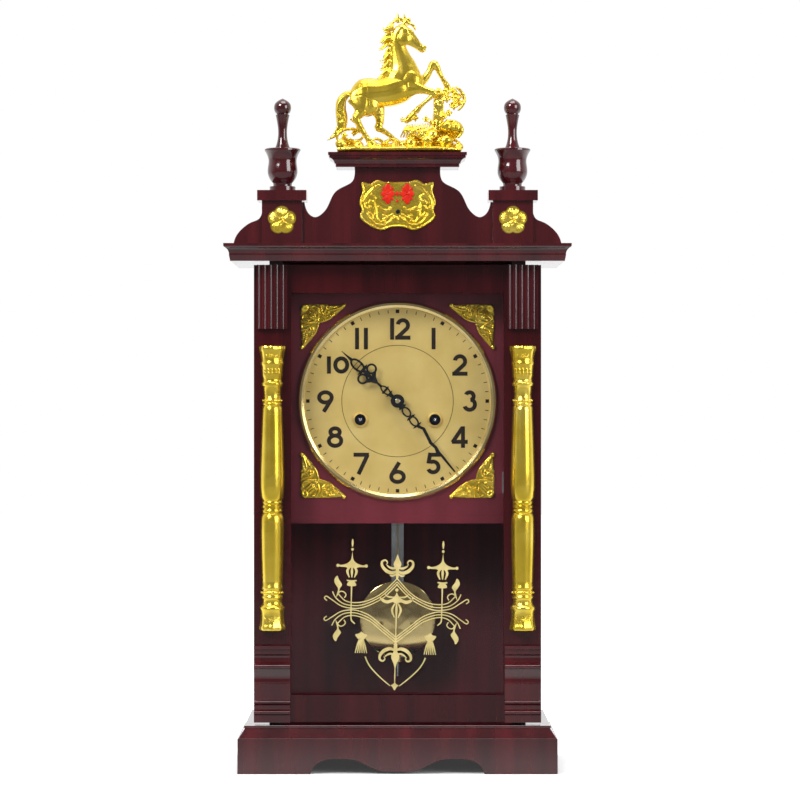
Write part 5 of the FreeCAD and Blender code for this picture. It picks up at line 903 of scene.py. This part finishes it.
class Print:
    """Flat gold shapes on the front of the glass, drawn in u (right) and v (up)."""

    def __init__(self):
        self.bm = bmesh.new()
        self.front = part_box("door_glass")[0][1] / MM - PRINT_THICK
        self.count = 0

    def spot(self, u, v):
        x, z = u * PRINT_UNIT, v * PRINT_UNIT
        c, s = math.cos(PRINT_LEAN), math.sin(PRINT_LEAN)
        return PRINT_CENTRE[0] + x * c - z * s, PRINT_CENTRE[1] + x * s + z * c

    def depths(self):
        """Front and rear of the next shape, so that crossing shapes never share a face."""
        self.count += 1
        lift = PRINT_LIFT * (self.count % PRINT_LIFTS)
        return self.front - lift, self.front + PRINT_THICK - lift / 2

    def ribbon(self, points, twin=True, per=6):
        """A line through (u, v, width) points, and its mirror twin."""
        for side in (1, -1) if twin else (1,):
            line = sampled([(side * u, v, w) for u, v, w in points], per)
            near, far = self.depths()
            rows = []
            for i, (u, v, w) in enumerate(line):
                a, b = line[max(i - 1, 0)], line[min(i + 1, len(line) - 1)]
                run = math.hypot(b[0] - a[0], b[1] - a[1]) or 1.0
                du, dv = -(b[1] - a[1]) / run * w / 2, (b[0] - a[0]) / run * w / 2
                row = []
                for p in (self.spot(u + du, v + dv), self.spot(u - du, v - dv)):
                    row.append(self.bm.verts.new((p[0], near, p[1])))
                    row.append(self.bm.verts.new((p[0], far, p[1])))
                rows.append(row)
            for a, b in zip(rows, rows[1:]):
                self.bm.faces.new((a[0], b[0], b[2], a[2]))
                self.bm.faces.new((a[1], a[3], b[3], b[1]))
                self.bm.faces.new((a[0], a[1], b[1], b[0]))
                self.bm.faces.new((a[2], b[2], b[3], a[3]))
            self.bm.faces.new((rows[0][0], rows[0][2], rows[0][3], rows[0][1]))
            self.bm.faces.new((rows[-1][0], rows[-1][1], rows[-1][3], rows[-1][2]))

    def shape(self, points, twin=True, per=4):
        """A filled smooth outline, and its mirror twin."""
        for side in (1, -1) if twin else (1,):
            ring = sampled([(side * u, v) for u, v in points + points[:1]], per)[:-1]
            slab(self.bm, [self.spot(u, v) for u, v in ring], *self.depths())

    def dot(self, u, v, r, twin=True):
        ring = [(u + r * math.cos(math.pi * k / 5), v + r * math.sin(math.pi * k / 5)) for k in range(10)]
        self.shape(ring, twin, 2)


def mirrored(half, middle=0):
    """A whole outline from its right half."""
    return half + [(2 * middle - u, v) for u, v in reversed(half) if u != middle]


def print_crown(p):
    """The fleur on top, with curled horns."""
    p.shape(mirrored([(0, 505), (14, 462), (32, 425), (30, 398), (16, 372), (14, 330), (7, 285)]), False)
    p.ribbon([(6, 352, 16), (48, 338, 28), (96, 356, 30), (132, 396, 24), (134, 434, 18), (106, 448, 14),
              (88, 428, 10), (98, 408, 5)])
    p.ribbon([(8, 384, 14), (44, 378, 20), (78, 392, 14), (92, 408, 5)])
    p.ribbon([(6, 330, 12), (40, 312, 16), (66, 318, 6)])


def print_arms(p):
    """Three lines sweep out to curled ends, three more mirror them below, and each end has a leaf."""
    arcs = [[(5, 285), (110, 175), (205, 112), (300, 78), (385, 72), (450, 88), (495, 130), (507, 146),
             (492, 166), (464, 164), (442, 140), (455, 112)],
            [(0, 262), (112, 150), (212, 88), (305, 52), (385, 46), (465, 62), (530, 110), (560, 165)],
            [(-5, 240), (110, 125), (210, 65), (305, 28), (385, 22), (480, 40), (560, 90), (612, 122),
             (628, 104), (606, 84)]]
    for arc in arcs:
        p.ribbon([(u, v, PRINT_LINE) for u, v in arc])
    for arc, drop in zip(arcs, (48, 24, 0)):
        ends = [(u, PRINT_FOLD - v) for u, v in reversed(arc) if u > 400]
        inner = [(385, 8 - drop), (310, -5 - drop), (220, -45 - drop), (120, -125 - drop),
                 (20, -205 - drop), (-15, -240 - drop)]
        p.ribbon([(u, v, PRINT_LINE) for u, v in ends + inner])
    leaf = [(530, 110), (520, 150), (512, 190), (532, 222), (547, 252), (540, 282), (520, 302),
            (508, 272), (490, 246), (478, 222), (498, 190), (504, 150)]
    p.shape(leaf)
    p.shape([(u, PRINT_FOLD - v) for u, v in leaf])


def print_lanterns(p):
    """A roofed lantern stands on each arm, with its long stem below."""
    p.ribbon([(395, 625, 7), (395, 592, 18), (395, 558, 7)])
    p.dot(395, 535, 12)
    p.shape(mirrored([(395, 517), (401, 468), (410, 438), (440, 412), (486, 398), (524, 400), (500, 382),
                      (452, 380), (424, 366), (395, 378)], 395))
    p.dot(272, 392, 14)
    p.dot(518, 392, 14)
    for lean in (-1, 0, 1):
        p.ribbon([(395 + 16 * lean, 385, 10), (395 + 40 * lean, 345, 22), (395 + 22 * lean, 290, 8)])
    p.ribbon([(352, 265, 10), (395, 258, 16), (438, 265, 10)])
    p.shape([(372, 255), (418, 255), (436, 222), (395, 214), (354, 222)], per=3)
    p.ribbon([(395, 215, 14), (395, 120, 10), (395, 0, 10), (392, -75, 12), (375, -98, 12),
              (358, -112, 8)])


def print_middle(p):
    """The winged lantern between the arms, and the stem that carries it."""
    p.dot(0, 235, 8, False)
    p.dot(0, 190, 14, False)
    p.shape(mirrored([(0, 172), (18, 136), (52, 108), (96, 100), (146, 128), (132, 92), (84, 70), (36, 84),
                      (0, 70)]), False)
    p.ribbon([(20, 128, 8), (64, 128, 14), (92, 140, 10), (100, 158, 4)])
    for lean in (-1, 0, 1):
        p.ribbon([(14 * lean, 72, 10), (38 * lean, 15, 20), (16 * lean, -50, 8)], False)
    p.ribbon([(0, 80, 16), (0, -80, 10), (0, -200, 10), (0, -275, 12)], False)


def print_pendant(p):
    """The hanging fleur, its drop, the two lines that meet there and their tassels."""
    p.shape(mirrored([(0, -255), (16, -300), (16, -345), (34, -380), (32, -410), (14, -450), (0, -498)]),
            False)
    p.ribbon([(6, -335, 16), (48, -322, 28), (98, -340, 30), (132, -380, 24), (134, -416, 18),
              (108, -430, 14), (90, -412, 10), (100, -392, 5)])
    p.ribbon([(8, -372, 14), (46, -366, 18), (80, -382, 12), (92, -396, 5)])
    p.ribbon([(0, -495, 8), (0, -560, 10), (0, -625, 8)], False)
    p.shape(mirrored([(0, -612), (16, -632), (34, -640), (18, -656), (0, -684)]), False)
    p.ribbon([(262, -395, 12), (240, -445, 10), (200, -502, 10), (120, -580, 10), (40, -645, 8)])
    p.shape(mirrored([(300, -178), (322, -196), (352, -206), (338, -232), (318, -250)], 300))
    for k in range(6):
        lean = (k - 2.5) / 2.5
        p.ribbon([(300 + 14 * lean, -240, 10), (300 + 34 * lean, -300, 12), (300 + 50 * lean, -366, 7)],
                 per=3)
    p.ribbon([(272, -262, 8), (300, -268, 10), (328, -262, 8)])


def glass_print():
    p = Print()
    for draw in (print_crown, print_arms, print_lanterns, print_middle, print_pendant):
        draw(p)
    finish_mesh(p.bm, "glass_print", print_gold, "door", FLAT)


glass_print()


# Bright ends of the arbors

def centre_of(node):
    """The middle of a node's box across and up, and its front, in millimetres."""
    low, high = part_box(node)
    return (low[0] + high[0]) / 2 / MM, (low[2] + high[2]) / 2 / MM, low[1] / MM


def arbor_end(name, node, body, radius):
    """A small domed steel end on an arbor, just proud of the piece it belongs to."""
    x, z, front = centre_of(node)
    bm = bmesh.new()
    blob(bm, (x, front + 0.2, z), (radius, 0.5, radius))
    finish_mesh(bm, name, steel, body, SOFT)


arbor_end("hub_button", "cannon_pinion", "minute_hand", 2.3)
for word in ("time", "strike"):
    arbor_end(word + "_square_end", word + "_winding_arbor", word + "_winding_arbor", 1.3)


# Brass line down the pendulum rod

def rod_line():
    low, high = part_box("pendulum_rod")
    bob_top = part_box("pendulum_bob")[1][2]
    line_x, line_y = 0.2, low[1] / MM + 0.25
    top, foot = high[2] / MM - 6.0, bob_top / MM + 0.6
    bm = bmesh.new()
    tube(bm, [(line_x, line_y, z, 0.6, 0.55) for z in (top, (top + foot) / 2, foot)], 12, 4)
    finish_mesh(bm, "rod_brass_line", bezel_brass, "pendulum", 60)


rod_line()


# Stage, light and camera

FLOOR_REACH = 6.0
# Width over which the floor's painted shadow fades at the edge of the clock's footprint.
PAINTED_SHADOW_FADE = 0.02
LENS_SHARE = 344 / 2700
EYE_SPOT = (0.00215, -2.7525, 0.3201)
LAMPS = (("key_box", (-1.5, -1.9, 1.9), (0, 0, 0.35), 1.0, 62),
         ("fill_box", (1.8, -1.6, 1.0), (0, 0, 0.3), 1.2, 30),
         ("top_box", (0.1, -0.3, 2.2), (0, 0, 0.4), 1.2, 26))


def backdrop_world():
    """White where the camera looks, and in gloss a room that is darker on the camera's side."""
    world = bpy.data.worlds.new("studio")
    scene.world = world
    world.use_nodes = True
    world.node_tree.nodes.clear()
    g = Graph(world.node_tree)
    plain = g.node("Background", Color=(0.9, 0.95, 1.0, 1), Strength=0.42)[0]
    white = g.node("Background", Color=(1, 1, 1, 1), Strength=1.0)[0]
    split = g.node("SeparateXYZ", g.node("TexCoord")["Generated"])
    depth = g.work("MULTIPLY_ADD", split["Y"], 0.5, 0.5)
    tone = g.ramp(depth, [(0.22, (0.14, 0.14, 0.145)), (0.62, (1, 1, 1))])
    room = g.node("Background", Color=tone, Strength=1.0)[0]
    rays = g.node("LightPath")
    bounced = g.work("MAXIMUM", rays["Is Glossy Ray"], rays["Is Transmission Ray"])
    lit = g.node("MixShader", bounced, plain, room)[0]
    seen = g.node("MixShader", rays["Is Camera Ray"], lit, white)[0]
    g.node("OutputWorld", Surface=seen)


def floor_sheet():
    """A white floor with a painted soft shadow under the clock, and dark in gloss in front of it."""
    s = Shader("pale_floor")
    s.put(Base_Color=(0.3, 0.3, 0.3, 1), Roughness=0.9, Specular_IOR_Level=0.0)
    split = s.node("SeparateXYZ", s.where)
    # Painted shadow: the glow the camera sees falls from 0.80 outside the clock's footprint to 0.04 inside
    # it.
    past = [s.work("SUBTRACT", s.work("ABSOLUTE", split[i]), cad_box[1][i]) for i in range(2)]
    away = s.work("MAXIMUM", *past)
    shade = s.node("MapRange", Value=away, From_Min=-PAINTED_SHADOW_FADE, From_Max=PAINTED_SHADOW_FADE,
                   To_Min=0.04, To_Max=0.80)["Result"]
    glow_with_painted_shadow = s.node("Emission", Strength=shade)[0]
    pale = s.node("BsdfDiffuse", Color=(0.8, 0.8, 0.8, 1))[0]
    behind = s.node("MapRange", Value=split["Y"], From_Min=-0.35, From_Max=0.25)["Result"]
    rays = s.node("LightPath")
    bounced = s.work("MAXIMUM", rays["Is Glossy Ray"], rays["Is Transmission Ray"])
    white = s.work("MAXIMUM", s.work("MULTIPLY", bounced, behind), rays["Is Camera Ray"])
    s.surface(white, s.base.outputs["BSDF"], s.node("AddShader", glow_with_painted_shadow, pale)[0])
    mesh = bpy.data.meshes.new("floor")
    corners = [(x * FLOOR_REACH, y * FLOOR_REACH, 0) for x, y in ((-1, -1), (1, -1), (1, 1), (-1, 1))]
    mesh.from_pydata(corners, [], [(0, 1, 2, 3)])
    mesh.materials.append(s.material)
    placed("floor", mesh)


def lamp(name, spot, aim, size, power):
    """A square soft box at a spot, facing a point."""
    light = bpy.data.lights.new(name, "AREA")
    light.energy = power
    light.shape = "RECTANGLE"
    light.size = light.size_y = size
    item = placed(name, light)
    item.location = spot
    item.rotation_euler = (Vector(aim) - Vector(spot)).to_track_quat("-Z", "Y").to_euler()


def camera_eye():
    """A level camera in front of the clock, with the photograph's lens."""
    camera = bpy.data.cameras.new("camera")
    camera.angle = 2 * math.atan(LENS_SHARE)
    camera.clip_end = 30
    eye = placed("camera", camera)
    eye.location = EYE_SPOT
    eye.rotation_euler = (math.pi / 2, 0, 0)
    scene.camera = eye


backdrop_world()
floor_sheet()
for settings in LAMPS:
    lamp(*settings)
camera_eye()
scene.view_settings.view_transform = "Standard"
